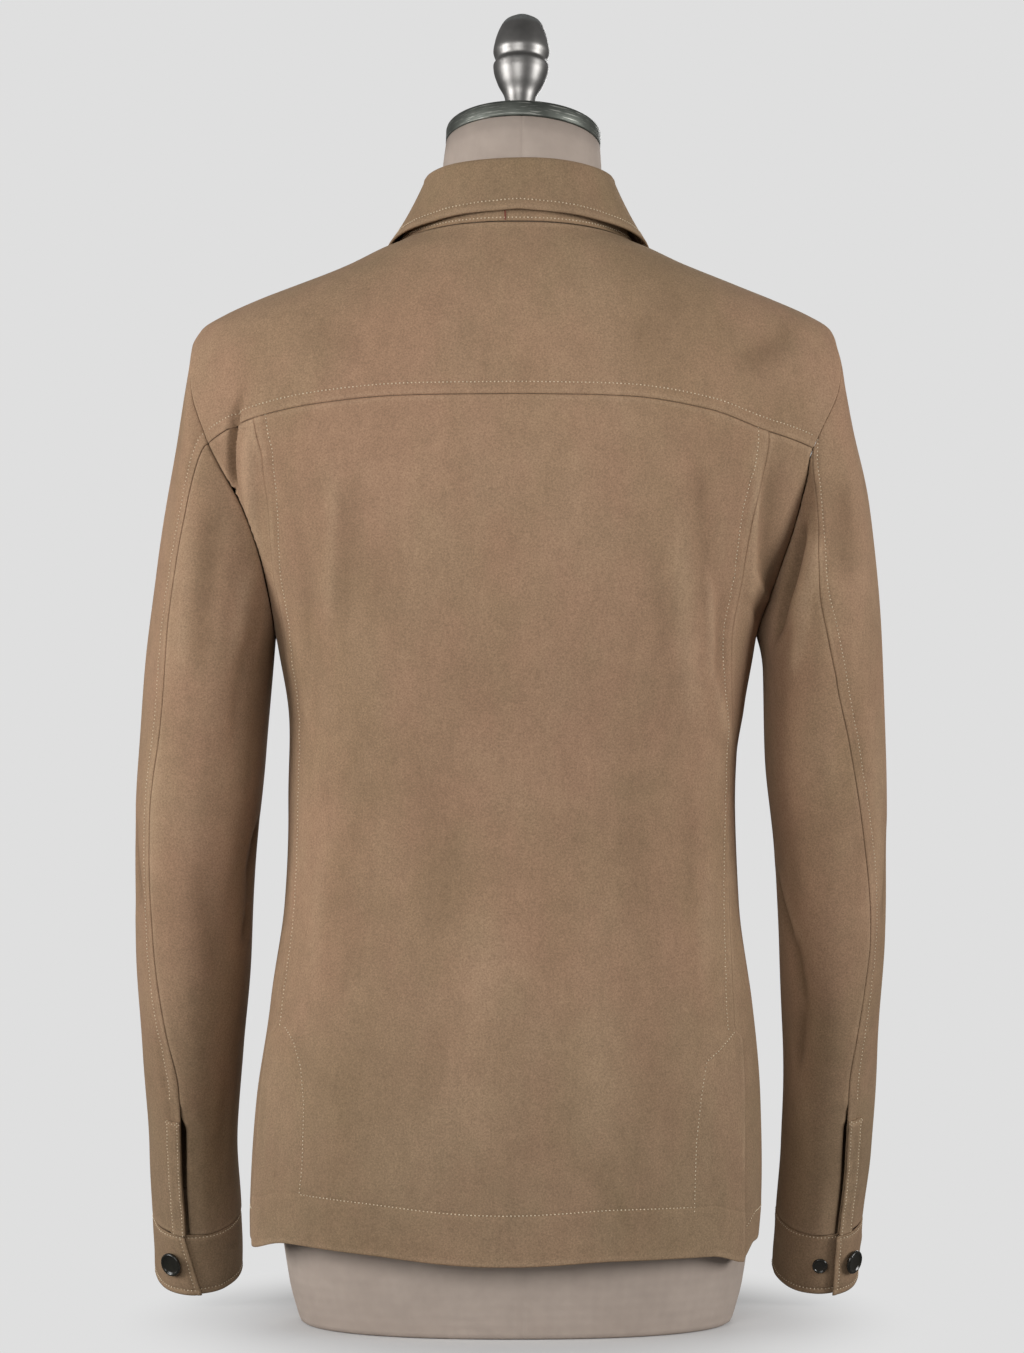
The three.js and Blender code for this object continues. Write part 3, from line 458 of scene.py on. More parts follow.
def spread(stops, counts, first, last):
    """Grid lines along each of several lines. stops are the distances of its corners, a column for each."""
    parts = [np.broadcast_to(first[:-1], (len(stops), len(first) - 1))]
    for k, count in enumerate(counts):
        low = stops[:, k] if k else np.full(len(stops), first[-1])
        high = stops[:, k + 1] if k < len(counts) - 1 else stops[:, -1] - last[-1]
        shares = np.linspace(0, 1, count + 1)[: None if k == len(counts) - 1 else -1]
        parts.append(low[:, None] + (high - low)[:, None] * shares)
    parts.append(stops[:, -1:] - np.array(last[:-1])[::-1])
    return np.hstack(parts)


def run_length(points, axis):
    step = np.linalg.norm(np.diff(points, axis=axis), axis=-1)
    return np.concatenate([np.zeros_like(np.take(step, [0], axis)), np.cumsum(step, axis)], axis)


def lay_out(surface, across, down, pitch):
    """Lays a grid on a surface given by two shares. across and down each hold the grid lines near the first
    and the last edge and the shares at which the outline turns a corner. Returns the shares and the
    distances in millimetres from the left, right, upper and lower edge."""
    fine = np.unique(np.concatenate([np.linspace(0, 1, 181), across[2], down[2]]))

    def lines_along(lengths, first, last, corners):
        at = [0, *corners, 1]
        counts = [max(2, round(d / pitch)) for d in np.diff(np.interp(at, fine, lengths.mean(0)))]
        lines = spread(np.array([np.interp(at, fine, line) for line in lengths]), counts, first, last)
        return lines, np.array([np.interp(want, line, fine) for want, line in zip(lines, lengths)])

    def at_rows(values):
        return np.array([np.interp(rows, fine, column) for rows, column in zip(shares_v.T, values.T)]).T

    u, v = np.meshgrid(fine, fine)
    widths = run_length(surface(u, v), 1)
    columns, u_of = lines_along(widths, *across)
    drops = run_length(surface(u_of, v[:, :1]), 0).T
    lines, shares_v = lines_along(drops, *down)
    shares_v = shares_v.T
    left = at_rows(columns)
    right = np.interp(shares_v, fine, widths[:, -1]) - left
    gap = {"left": left, "right": right, "upper": lines.T, "lower": drops[:, -1] - lines.T}
    return at_rows(u_of), shares_v, gap


def directions(points, inside):
    """Outward directions of a grid. inside is a spot, in x and y, that the surface goes round."""
    out = np.cross(np.gradient(points, axis=1), np.gradient(points, axis=0))
    out /= np.linalg.norm(out, axis=-1, keepdims=True) + 1e-12
    away = points[..., :2] - np.array(inside)
    return out * np.sign((out[..., :2] * away).sum(-1).mean())


RIPPLE_WAYS = np.array([[1, 0.3, 0.2], [-0.4, 1, 0.5], [0.3, -0.6, 1], [0.8, 0.5, -0.7], [-0.2, 0.9, 0.9]])


def ripple(points, wave):
    """An uneven swell between about -1 and 1, with waves of about that length."""
    turns = points @ RIPPLE_WAYS.T * np.array([1, 1.31, 0.83, 1.17, 0.71]) * (2 * np.pi / wave)
    return np.sin(turns + np.array([0, 1.3, 2.9, 4.1, 5.2])).mean(-1) * 1.5


def edge_shape(distance, points, roll=0.8, stitch=None, lift=0.0):
    """Height of the cloth near an edge: it rolls down at the edge, lies double up to its stitching and
    puckers where the thread draws it in."""
    height = -0.5 * roll * np.exp(-((distance / 0.8) ** 2))
    if stitch is not None:
        pull = 0.5 + 0.25 * ripple(points, 17)
        height = height + lift * (1 - smooth_step(distance, stitch - 0.5, stitch + 2.5))
        height = height - pull * np.exp(-(((distance - stitch) / 1.1) ** 2))
        height = height + 0.22 * ripple(points, 13) * np.exp(-(((distance - stitch) / 4.5) ** 2))
    return height


def folds(table, across, along):
    """Height of soft ridges and troughs. A row gives a fold's two ends, how far its middle bows, its width
    and its height, which is below 0 for a trough."""
    height = np.zeros(np.shape(across))
    for a0, b0, a1, b1, bow, width, rise in table:
        run = np.hypot(a1 - a0, b1 - b0)
        unit_a, unit_b = (a1 - a0) / run, (b1 - b0) / run
        t = ((across - a0) * unit_a + (along - b0) * unit_b) / run
        off = (across - a0) * unit_b - (along - b0) * unit_a - bow * 4 * t * (1 - t)
        ends = smooth_step(t, -0.1, 0.3) * (1 - smooth_step(t, 0.7, 1.1))
        height = height + rise * ends * np.exp(-((off / width) ** 2))
    return height


def shell(name, points, out, nap_and_light_tone):
    """A closed sheet of suede from the grid of its outer face and the direction through it."""
    rows, columns = points.shape[:2]
    index = np.arange(rows * columns).reshape(rows, columns)
    inner = index + rows * columns
    corners = [
        (index[:-1, :-1], index[1:, :-1], index[1:, 1:], index[:-1, 1:]),
        (inner[:-1, :-1], inner[:-1, 1:], inner[1:, 1:], inner[1:, :-1]),
        (index[0, :-1], index[0, 1:], inner[0, 1:], inner[0, :-1]),
        (index[-1, 1:], index[-1, :-1], inner[-1, :-1], inner[-1, 1:]),
        (index[1:, 0], index[:-1, 0], inner[:-1, 0], inner[1:, 0]),
        (index[:-1, -1], index[1:, -1], inner[1:, -1], inner[:-1, -1]),
    ]
    faces = np.concatenate([np.stack(four, -1).reshape(-1, 4) for four in corners])
    first = faces[0]
    vertices = np.concatenate([points.reshape(-1, 3), (points - out * SUEDE["thickness"]).reshape(-1, 3)])
    facing = np.cross(vertices[first[1]] - vertices[first[0]], vertices[first[2]] - vertices[first[0]])
    if facing @ out[0, 0] < 0:
        faces = faces[:, ::-1]
    made = new_mesh(name, vertices, faces, suede)
    # The stored tone: paler rubbed edges, a painted highlight on ridges, and painted shade in hollows and at
    # the edges.
    tone = np.clip(np.concatenate([nap_and_light_tone.ravel(), nap_and_light_tone.ravel()]), -1, 1)
    made.data.attributes.new("nap_and_painted_light", "FLOAT", "POINT").data.foreach_set("value", tone.astype(np.float32))
    return made


def stitching_tree():
    """Geometry Nodes: along each line, a short thread that dips into the suede at every step."""
    made = bpy.data.node_groups.new("topstitching", "GeometryNodeTree")
    node = partial(add, made)
    inputs = {"Lines": "Geometry", "Step": "Float", "Thread length": "Float", "Thread radius": "Float"}
    for name, kind in {**inputs, "Thread": "Material"}.items():
        made.interface.new_socket(name, in_out="INPUT", socket_type=f"NodeSocket{kind}")
    made.interface.new_socket("Stitches", in_out="OUTPUT", socket_type="NodeSocketGeometry")
    given = node("NodeGroupInput").outputs
    line = node("GeometryNodeMeshToCurve", {"Mesh": given["Lines"]})
    points = node("GeometryNodeResampleCurve", {"Curve": line, "Length": given["Step"]}, mode="LENGTH")
    tangent = node("GeometryNodeInputTangent")
    along = node("FunctionNodeAlignRotationToVector", {"Vector": tangent}, axis="Z")
    half = node("Math", {0: given["Thread length"], 1: 0.5}, operation="MULTIPLY")
    radius = given["Thread radius"]
    size = node("CombineXYZ", {"X": radius, "Y": radius, "Z": half})
    limits = {"Min": (0.8, 0.8, 0.8), "Max": (1.15, 1.15, 1.1), "Seed": 7}
    uneven = node("FunctionNodeRandomValue", limits, data_type="FLOAT_VECTOR")
    varied = node("VectorMath", {0: size, 1: uneven}, operation="MULTIPLY")
    ball = node("GeometryNodeMeshUVSphere", {"Segments": 5, "Rings": 3, "Radius": 1.0})
    feeds = {"Points": points, "Instance": ball, "Rotation": along, "Scale": varied}
    real = node("GeometryNodeRealizeInstances", {"Geometry": node("GeometryNodeInstanceOnPoints", feeds)})
    rounded = node("GeometryNodeSetShadeSmooth", {"Geometry": real})
    dyed = node("GeometryNodeSetMaterial", {"Geometry": rounded, "Material": given["Thread"]})
    node("NodeGroupOutput", {"Stitches": dyed})
    return made


topstitching = stitching_tree()


def stitch_lines(name, lines, sewn_with=thread, stitch=STITCH):
    """Stitches along lines of points, in millimetres."""
    mesh = bpy.data.meshes.new(name)
    points = np.concatenate(lines) * MM
    ends = np.cumsum([len(line) for line in lines])
    mesh.from_pydata(points.tolist(), [(i, i + 1) for i in range(len(points) - 1) if i + 1 not in ends], [])
    made = put_in_scene(name, mesh)
    modifier = made.modifiers.new("topstitching", "NODES")
    modifier.node_group = topstitching
    sizes = {"Step": stitch["pitch"], "Thread length": stitch["length"], "Thread radius": stitch["radius"]}
    given = {"Thread": sewn_with, **{size: length * MM for size, length in sizes.items()}}
    for item in topstitching.interface.items_tree:
        if item.in_out == "INPUT" and item.name in given:
            modifier[item.identifier] = given[item.name]
    bpy.context.view_layer.update()
    made.data = bpy.data.meshes.new_from_object(made.evaluated_get(bpy.context.evaluated_depsgraph_get()))
    made.modifiers.clear()
    made.data.name = name
    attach(made, "root")

# ---------------------------------------------------------------------------------------------------------
# Yoke: one piece of suede round the neck and over both shoulders, from the front yoke seams to a curved
# seam across the back. It lies over the back's upper edge and is topstitched 8.5 mm above the seam.

ARMHOLE = {"middle": 592, "reach": 108, "turn": 28}
ARMHOLE_SHIFT = [  # degrees round it from the top to the back, then how much further back the right one lies
    (0, 0),
    (48, 0.6),
    (79, 3.5),
    (92, -1.5),
    (103, -6.3),
    (115, -9.4),
    (130, -10.4),
    (150, -8),
    (180, 0),
    (360, 0),
]
NECK_SEAM = {"side": 761, "rise": 8, "drop": 67}
YOKE = {"middle": 648, "left": 77, "right": 79, "front": -35, "stitch": 8.5, "corners": (0.3, 0.7)}
YOKE_DROP = [  # share of the way from the middle to an armhole, then of the seam's fall, left and right
    (0, 0, 0),
    (0.25, 0.03, 0.04),
    (0.5, 0.2, 0.28),
    (0.72, 0.47, 0.665),
    (0.86, 0.71, 0.835),
    (1, 1, 1),
]
BODY_SECTIONS = [  # height, half width, depth behind, depth in front, sideways shift
    (40, 178, 118, 112, 9),
    (88, 180.5, 118, 112, 7.2),
    (157, 177.7, 115, 111, 5.2),
    (226, 170, 110, 109, 3.1),
    (295, 160.4, 105, 107, 3),
    (364, 157.7, 103, 107, 3),
    (399, 158, 104, 108, 2),
    (433, 161, 108, 110, 0),
    (468, 167, 112, 112, 0),
    (484, 170, 113, 113, 0),
    (524, 186, 114, 115, 0),
    (569, 209, 112, 113, 0),
    (604, 231, 108, 108, 0),
    (620, 238, 106, 104, 0),
    (649, 243.5, 100, 95, 0),
    (669, 240, 96, 88, 0),
    (686, 231, 92, 82, 0),
    (700, 221, 88, 76, 0),
    (709, 206, 86, 71.5, 0),
    (719, 183.5, 83, 66.5, 0),
    (729, 158, 80, 61, 0),
    (744.5, 118.8, 76, 50, 0),
    (756, 94.6, 72, 37, 0),
    (761, 82, 70, 30, 0),
    (766, 73, 68.5, 24, 0),
    (771, 67, 67, 20, 0),
]
BACK_FOLDS = [  # across and height of each end, bow, width, rise
    (123, 600, 129, 480, 0, 5.5, 1.1),
    (112, 600, 121, 480, 2, 8, -1.0),
    (137, 505, 145, 420, 0, 3, 0.9),
    (150, 560, 140, 430, 3, 6, -1.3),
    (181, 636, 177, 520, -5, 4.5, 3.0),
    (188, 652, 190, 560, -8, 2.0, -7.5),
    (-111, 565, -123, 420, -2, 9, 1.3),
    (-96, 540, -106, 400, 0, 10, -1.0),
    (-125, 605, -130, 500, 0, 6, -1.6),
    (-129, 535, -135, 452, 2, 3.5, 1.9),
    (-134, 466, -150, 402, 0, 3.5, 1.5),
    (-143, 520, -140, 440, 0, 5, -1.5),
    (-166, 625, -163, 486, 0, 3.6, 2.0),
    (-177, 606, -174, 512, 0, 7, -2.8),
    (-163, 527, -180, 503, 0, 3.2, 1.6),
    (-160, 512, -172, 492, 0, 4, -1.4),
    (60, 430, 52, 230, 4, 17, -0.9),
    (-78, 420, -90, 240, -3, 14, -1.0),
    (-60, 250, -50, 105, 3, 18, 0.8),
    (-118, 370, -122, 285, 0, 6, -0.8),
    (20, 310, 36, 110, 4, 22, 0.9),
    (112, 400, 122, 230, 3, 13, -1.0),
    (134, 330, 140, 240, 0, 6, 0.7),
    (-134, 330, -128, 232, 0, 6, 0.8),
    (150, 720, 108, 672, -4, 15, -1.4),
    (-196, 702, -150, 668, 5, 11, -2.4),
    (-120, 728, -80, 668, 0, 16, -1.0),
    (30, 740, 44, 672, 0, 18, -0.7),
]
FRONT_FOLDS = [
    (142, 610, 118, 500, 5, 7, -2.0),
    (128, 620, 104, 480, 4, 6, 1.4),
    (-146, 604, -120, 505, -4, 8, -2.2),
    (-130, 615, -108, 470, -3, 6, 1.3),
    (96, 430, 104, 240, 3, 13, -1.2),
    (-88, 450, -98, 220, -4, 15, -1.3),
    (60, 330, 70, 130, 2, 12, 1.0),
    (-66, 300, -60, 120, 2, 14, 1.1),
    (140, 320, 146, 190, 0, 7, -1.3),
    (-142, 300, -140, 180, 0, 6, -1.1),
    (90, 700, 60, 640, 4, 8, -1.2),
    (-92, 698, -58, 636, -5, 9, -1.3),
]
read_body = curve_through(BODY_SECTIONS)
read_shift = curve_through(ARMHOLE_SHIFT)
read_drop = curve_through(YOKE_DROP)


def on_body(turn, z):
    return section(*read_body(z), turn, z)


def hand_of(side):
    return 1 if side == "left" else -1


def side_turn(side, degrees):
    return degrees if side == "left" else 180 - degrees


def armhole(side, around):
    shift = read_shift(np.mod(around, 360))[0] if side == "right" else 0
    turn = side_turn(side, ARMHOLE["turn"] * sine(around) + shift)
    return turn, ARMHOLE["middle"] + ARMHOLE["reach"] * cosine(around)


def neck_seam(around):
    back = sine(around)
    rise = np.where(back >= 0, NECK_SEAM["rise"] * back, -NECK_SEAM["drop"] * np.abs(back) ** 1.8)
    z = NECK_SEAM["side"] + rise
    reach = read_body(NECK_SEAM["side"])[0] * np.abs(cosine(around)) ** (2 / CORNER)
    lean = np.degrees(np.arccos(np.clip(reach / read_body(z)[0], 0, 1) ** (CORNER / 2)))
    return np.where(back >= 0, around, np.where(cosine(around) >= 0, -lean, 180 + lean)), z


def yoke_corner(side):
    return armhole(side, YOKE[side])


def yoke_seam(turn):
    (left, left_z), (right, right_z) = yoke_corner("left"), yoke_corner("right")
    on_left = turn < 90
    share = (90 - turn) / (90 - np.where(on_left, left, right))
    fall = np.where(on_left, read_drop(share)[0], read_drop(share)[1])
    return mix(YOKE["middle"], np.where(on_left, left_z, right_z), fall)


def armhole_through(side, around):
    """The direction through both cloths at the armhole. It dips over the shoulder and levels lower down."""
    hand = hand_of(side)
    along = on_body(*armhole(side, around + 1)) - on_body(*armhole(side, around - 1))
    dip = 25 * (1 + cosine(around))
    out = -hand * np.cross(along, np.stack([hand * cosine(dip), 0 * dip, -sine(dip)], -1))
    return out / np.linalg.norm(out, axis=-1, keepdims=True)


armhole_turns = np.arange(0, 360, 3)
over_shoulder = 1 - smooth_step(np.minimum(armhole_turns, 360 - armhole_turns), 70, 110)
ARMHOLE_LINES = [
    (spot, out, share)
    for side in ("left", "right")
    for spot, out, share in zip(
        on_body(*armhole(side, armhole_turns)), armhole_through(side, armhole_turns), over_shoulder
    )
]


def near_armhole(points):
    """Each point's distance from the nearest armhole, and the direction and share of its shared edge."""
    away = np.full(points.shape[:-1], 1e9)
    through = np.zeros(points.shape)
    share = np.zeros(points.shape[:-1])
    for spot, out, over in ARMHOLE_LINES:
        here = np.linalg.norm(points - spot, axis=-1)
        nearer = here < away
        away[nearer] = here[nearer]
        through[nearer] = out
        share[nearer] = over
    return away, through, share


def by_armhole(points):
    """0 at an armhole's seam and 1 beyond 7 mm, so that folds die away towards the seam."""
    return smooth_step(near_armhole(points)[0], 0, 7)


def mitred(points, out):
    """Directions through the cloth, turned at the armhole so that two cloths meet edge to edge."""
    away, through, share = near_armhole(points)
    turned_to = mix(out, through, (share * (1 - smooth_step(away, 2.5, 9)))[..., None])
    return turned_to / np.linalg.norm(turned_to, axis=-1, keepdims=True)


def nap_tone_and_painted_light(height, points, gaps):
    """How the nap looks, with painted light: paler where rubbed along rolled edges, a painted highlight on
    ridges, and painted shade in hollows and right at the edges.
    """
    # Painted light from the folds' height: a highlight on ridges and shade in hollows.
    tone = np.clip(height / 3.2, -1.3, 0.5)
    for gap in gaps:
        tone = tone + 0.3 * np.exp(-(((gap - 2.2) / 1.6) ** 2)) * (0.8 + 0.4 * ripple(points, 40))
        # Painted shade right at each edge, in the seam.
        tone = tone - 0.4 * np.exp(-((gap / 0.7) ** 2))
    return tone


def make_piece(
    node,
    surface,
    across,
    down,
    edges,
    swell,
    extra=None,
    middle=(0, 0),
    pitch=SUEDE["pitch"],
    rubbed_and_painted_light=("left", "right", "upper", "lower"),
    armhole_edge=False,
):
    """A piece of suede, laid out on its surface round the spot called middle. swell gives the height of its
    folds, which also sets a painted highlight on ridges and painted shade in hollows, and edges each edge's
    roll, the distance of its stitching and its lift. extra adds height that the nap tone doesn't show, rubbed
    names the edges that are paler where rubbed and darker right at the edge as painted shade, and
    armhole_edge turns the piece to its armhole."""
    u, v, gap = lay_out(surface, across, down, pitch)
    points = surface(u, v)
    grid = {"u": u, "v": v, "points": points, "gap": gap}
    height = swell(grid)
    tone = nap_tone_and_painted_light(height, points, [gap[name] for name in rubbed_and_painted_light])
    for name, shape in edges.items():
        height = height + edge_shape(gap[name], points, *shape)
    if extra:
        height = height + extra(grid)
    grid["points"] = points + directions(points, middle) * height[..., None]
    grid["out"] = directions(grid["points"], middle)
    through = mitred(grid["points"], grid["out"]) if armhole_edge else grid["out"]
    return fit(shell(f"{node}_suede", grid["points"], through, tone), node), grid


def body_folds(grid):
    x, y, z = np.moveaxis(grid["points"], -1, 0)
    behind = folds(BACK_FOLDS, x, z) * smooth_step(y, 0, 30)
    before = folds(FRONT_FOLDS, x, z) * smooth_step(-y, 0, 30)
    return (behind + before + 0.35 * ripple(grid["points"], 95)) * by_armhole(grid["points"])


body_panel = partial(make_piece, swell=body_folds, armhole_edge=True)


def grid_line(grid, name, distance, keep=None):
    """The line of a grid at a distance from one of its edges, just above the cloth."""
    upright = name in ("left", "right")
    k = np.abs(grid["gap"][name].mean(0 if upright else 1) - distance).argmin()
    at = (slice(None), k) if upright else k
    line = (grid["points"] + grid["out"] * 0.15)[at]
    return line if keep is None else line[keep[at]]


def yoke_surface(u, v):
    low, high = YOKE["corners"]
    left, right = mix(-45, YOKE["left"], u / low), mix(-45, YOKE["right"], (1 - u) / low)
    middle = mix(yoke_corner("left")[0], yoke_corner("right")[0], (u - low) / (high - low))
    spots = (armhole("left", left), (middle, yoke_seam(middle)), armhole("right", right))
    zone = [u < low, u <= high, u > high]
    turn, z = (np.select(zone, [spot[k] for spot in spots]) for k in (0, 1))

    def start(side, around):
        return np.where(around < 0, YOKE["front"] * around / -45, 40 * around / YOKE[side])

    across = mix(40, 140, (u - low) / (high - low))
    neck = np.select(zone, [start("left", left), across, 180 - start("right", right)])
    neck_turn, neck_z = neck_seam(neck)
    return on_body(mix(neck_turn, turn, v), mix(neck_z, z, v))


def yoke_lower_edge(grid):
    low, high = YOKE["corners"]
    gap = grid["gap"]["lower"]
    sewn = edge_shape(gap, grid["points"], 0.5, YOKE["stitch"], 0.4)
    return np.where((grid["u"] > low) & (grid["u"] < high), sewn, edge_shape(gap, grid["points"], 0.6))


stitched = edge(YOKE["stitch"])
sewn = (0.8, YOKE["stitch"])
yoke, grid = body_panel(
    "yoke",
    yoke_surface,
    (stitched, stitched, YOKE["corners"]),
    (edge(), stitched, ()),
    {"left": sewn, "right": sewn, "upper": (0.5,)},
    extra=yoke_lower_edge,
)
low, high = YOKE["corners"]
back_part = (grid["u"] > low + 0.002) & (grid["u"] < high - 0.002)
ends = [grid_line(grid, name, YOKE["stitch"])[3:-3] for name in ("left", "right")]
stitch_lines("yoke_stitches", [grid_line(grid, "lower", YOKE["stitch"], back_part), *ends])

# ---------------------------------------------------------------------------------------------------------
# Back: one piece from the yoke to the hem. Its sides lap over the side panels and are topstitched 8.5 mm in.
# Below the side vents its edges hang free over a faced border, and the hem is turned up 35 mm.

BACK = {"stitch": 8.5, "hem": 35}
VENT = {"top": 212, "open": 203, "lap": 3.5, "lift": 2.1}
BACK_SEAM = [  # height, degrees back from the left side, degrees back from the right side
    (45, 18, 27),
    (106, 18.5, 29.5),
    (162, 18.5, 28.5),
    (219, 17.5, 27),
    (300, 16, 20),
    (370, 16, 16),
    (400, 16, 17),
    (430, 16.5, 21.5),
    (466, 18, 28),
    (513, 25, 33.5),
    (568, 37.3, 41),
    (595, 42.2, 43.6),
    (612, 44.2, 45.1),
    (632, 44.3, 46.7),
]
HEM = [  # degrees round the body, height of the hem
    (-90, 55),
    (-16, 60),
    (10, 60),
    (16, 57),
    (35, 64),
    (60, 61),
    (90, 54),
    (112, 57),
    (140, 56),
    (156, 49),
    (166, 60),
    (196, 60),
    (270, 55),
]
VENT_STITCH = {  # across and height of the line that holds the facing, from its top to the hem's stitching
    "left": [(160, 211), (154, 203), (148.5, 186), (146, 160), (147, 118), (149, 99)],
    "right": [(-151, 208), (-140, 197), (-131, 190), (-127, 165), (-123.5, 135), (-122, 88)],
}
read_back_seam = curve_through(BACK_SEAM)
read_hem = curve_through(HEM)


def hem_height(turn):
    return read_hem(np.where(turn > 270, turn - 360, turn))[0]


def back_seam(side, z):
    return side_turn(side, read_back_seam(z)[0 if side == "left" else 1])


def back_edge(side, v):
    """Turn and height of the seam between the back and a side panel, at a share of the way down."""
    top = yoke_seam(back_seam(side, YOKE["middle"]))
    z = mix(top, hem_height(back_seam(side, 57)), v)
    return back_seam(side, z), z


def vent_open(z):
    return 1 - smooth_step(z, VENT["open"], VENT["top"])


def back_surface(u, v):
    (left, left_z), (right, right_z) = back_edge("left", v), back_edge("right", v)
    left = left - VENT["lap"] * vent_open(left_z)
    right = right + VENT["lap"] * vent_open(right_z)
    turn = mix(left, right, u)
    (top_left, z0), (top_right, z1) = back_edge("left", 0), back_edge("right", 0)
    arch = yoke_seam(mix(top_left, top_right, u)) - mix(z0, z1, u)
    drop = hem_height(turn) - mix(back_edge("left", 1)[1], back_edge("right", 1)[1], u)
    z = mix(left_z, right_z, u) + arch * (1 - smooth_step(v, 0, 0.35)) + drop * smooth_step(v, 0.7, 1)
    return on_body(turn, z)


def on_cloth(piece, line):
    """Drops a line of points onto a piece from behind it and lifts it just clear."""
    back = np.array([0, 1.0, 0])
    hits = [piece.ray_cast(Vector(spot + back * 40) * MM, Vector(-back)) for spot in line]
    return np.array([np.array(where) / MM + back * 0.15 for hit, where, _, _ in hits if hit])


def smooth_line(corners, step=1.5):
    """Points along a line through a few corners."""
    corners = np.array(corners, float)
    reach = np.concatenate([[0], np.cumsum(np.linalg.norm(np.diff(corners, axis=0), axis=1))])
    at = np.arange(0, reach[-1], step)
    return np.stack([np.interp(at, reach, corners[:, k]) for k in range(corners.shape[1])], -1)


def pulled_by(line, points, depth=0.5, width=1.6):
    """The shallow channel that a row of stitches pulls into the back."""
    x, y, z = np.moveaxis(points, -1, 0)
    near = np.full(x.shape, 1e9)
    for across, up in smooth_line(line, 4):
        near = np.minimum(near, np.hypot(x - across, z - up))
    return -depth * np.exp(-((near / width) ** 2)) * (y > 0) * (0.8 + 0.4 * ripple(points, 19))


def back_details(grid):
    """The laps over the side panels, which hang free below the vents, and the facings' stitched channels."""
    points = grid["points"]
    height = 0
    for name in ("left", "right"):
        gap = grid["gap"][name]
        sewn = edge_shape(gap, points, 0.45, BACK["stitch"], 0.35)
        free = edge_shape(gap, points, 0.5) + VENT["lift"] * (1 - smooth_step(gap, 8, 60))
        height = height + mix(sewn, free, vent_open(points[..., 2]))
    return height + sum(pulled_by(line, points) for line in VENT_STITCH.values())


stitched = edge(BACK["stitch"])
back, grid = body_panel(
    "back",
    back_surface,
    (stitched, stitched, ()),
    (edge(), edge(BACK["hem"]), (0.72, 0.745)),
    {"upper": (0.5,), "lower": (0.5, BACK["hem"], 0.3)},
    extra=back_details,
)
above_vent = grid["points"][..., 2] > VENT["top"] - 2
right_end, left_end = (VENT_STITCH[side][-1][0] for side in ("right", "left"))
between_facings = (grid["points"][..., 0] > right_end) & (grid["points"][..., 0] < left_end)
lines = [grid_line(grid, name, BACK["stitch"], above_vent) for name in ("left", "right")]
lines.append(grid_line(grid, "lower", BACK["hem"], between_facings))
lines += [on_cloth(back, [(x, 90, z) for x, z in smooth_line(line)]) for line in VENT_STITCH.values()]
stitch_lines("back_stitches", lines)

# ---------------------------------------------------------------------------------------------------------
# Side panels: narrow pieces under the arms, from the yoke down past the armhole to the hem. The back laps
# over them, and they join the fronts in a plain seam a little forward of the side.

SIDE = {"armpit": 0.47, "armpit_height": 425, "armhole_foot": 210, "hem": 22}
SIDE_SEAM = {"top": -14, "hem": -16}  # degrees forward of the side
SIDE_CUT = {"left": ((0.102, 0.62), 0.036), "right": ((0.108, 0.61), 0.045)}  # flat size, area, in metres


def side_seam(side, z):
    top = armhole(side, SIDE["armhole_foot"])[1]
    return side_turn(side, mix(SIDE_SEAM["top"], SIDE_SEAM["hem"], (top - z) / top))


def outer_edge(side, v, start, armpit):
    """A piece's edge at a share of the way down: round the armhole from its start, then down the side seam.
    Gives its turn and height, and the seam's height at the hem."""
    foot = SIDE["armhole_foot"]
    arm_turn, arm_z = armhole(side, mix(start, foot, np.minimum(v / armpit, 1)))
    low = hem_height(side_seam(side, 60))
    seam_z = mix(armhole(side, foot)[1], low, np.maximum(v - armpit, 0) / (1 - armpit))
    over = v < armpit
    return np.where(over, arm_turn, side_seam(side, seam_z)), np.where(over, arm_z, seam_z), low


def side_surface(side, u, v):
    (_, top), (_, low) = back_edge(side, 0), back_edge(side, 1)
    seam_z = np.interp(v, [0, SIDE["armpit"], 1], [top, SIDE["armpit_height"], low])
    outer_turn, outer_z, front_low = outer_edge(side, v, YOKE[side], SIDE["armpit"])
    turn, z = mix(back_seam(side, seam_z), outer_turn, u), mix(seam_z, outer_z, u)
    corner_turn, corner_z = yoke_corner(side)
    arch = yoke_seam(mix(back_seam(side, top), corner_turn, u)) - mix(top, corner_z, u)
    drop = hem_height(turn) - mix(low, front_low, u)
    return on_body(turn, z + arch * (1 - smooth_step(v, 0, 0.15)) + drop * smooth_step(v, 0.85, 1))


for side, (flat, area) in SIDE_CUT.items():
    panel, grid = body_panel(
        f"side_panel_{side}",
        partial(side_surface, side),
        (edge(), edge(), ()),
        (edge(), edge(SIDE["hem"]), (SIDE["armpit"],)),
        {"left": (0.2,), "right": (0.7,), "upper": (0.9,), "lower": (0.5, SIDE["hem"], 0.2)},
    )
    stitch_lines(f"side_panel_{side}_stitches", [grid_line(grid, "lower", SIDE["hem"])])

# ---------------------------------------------------------------------------------------------------------
# Fronts: two plain pieces from the yoke's front seams to the hem. They meet down the middle under the
# button band.

FRONT = {"neck": 4 / 17, "armpit": 7 / 17, "armhole_top": 315, "low": 55, "hem": 22, "pitch": 3.8}


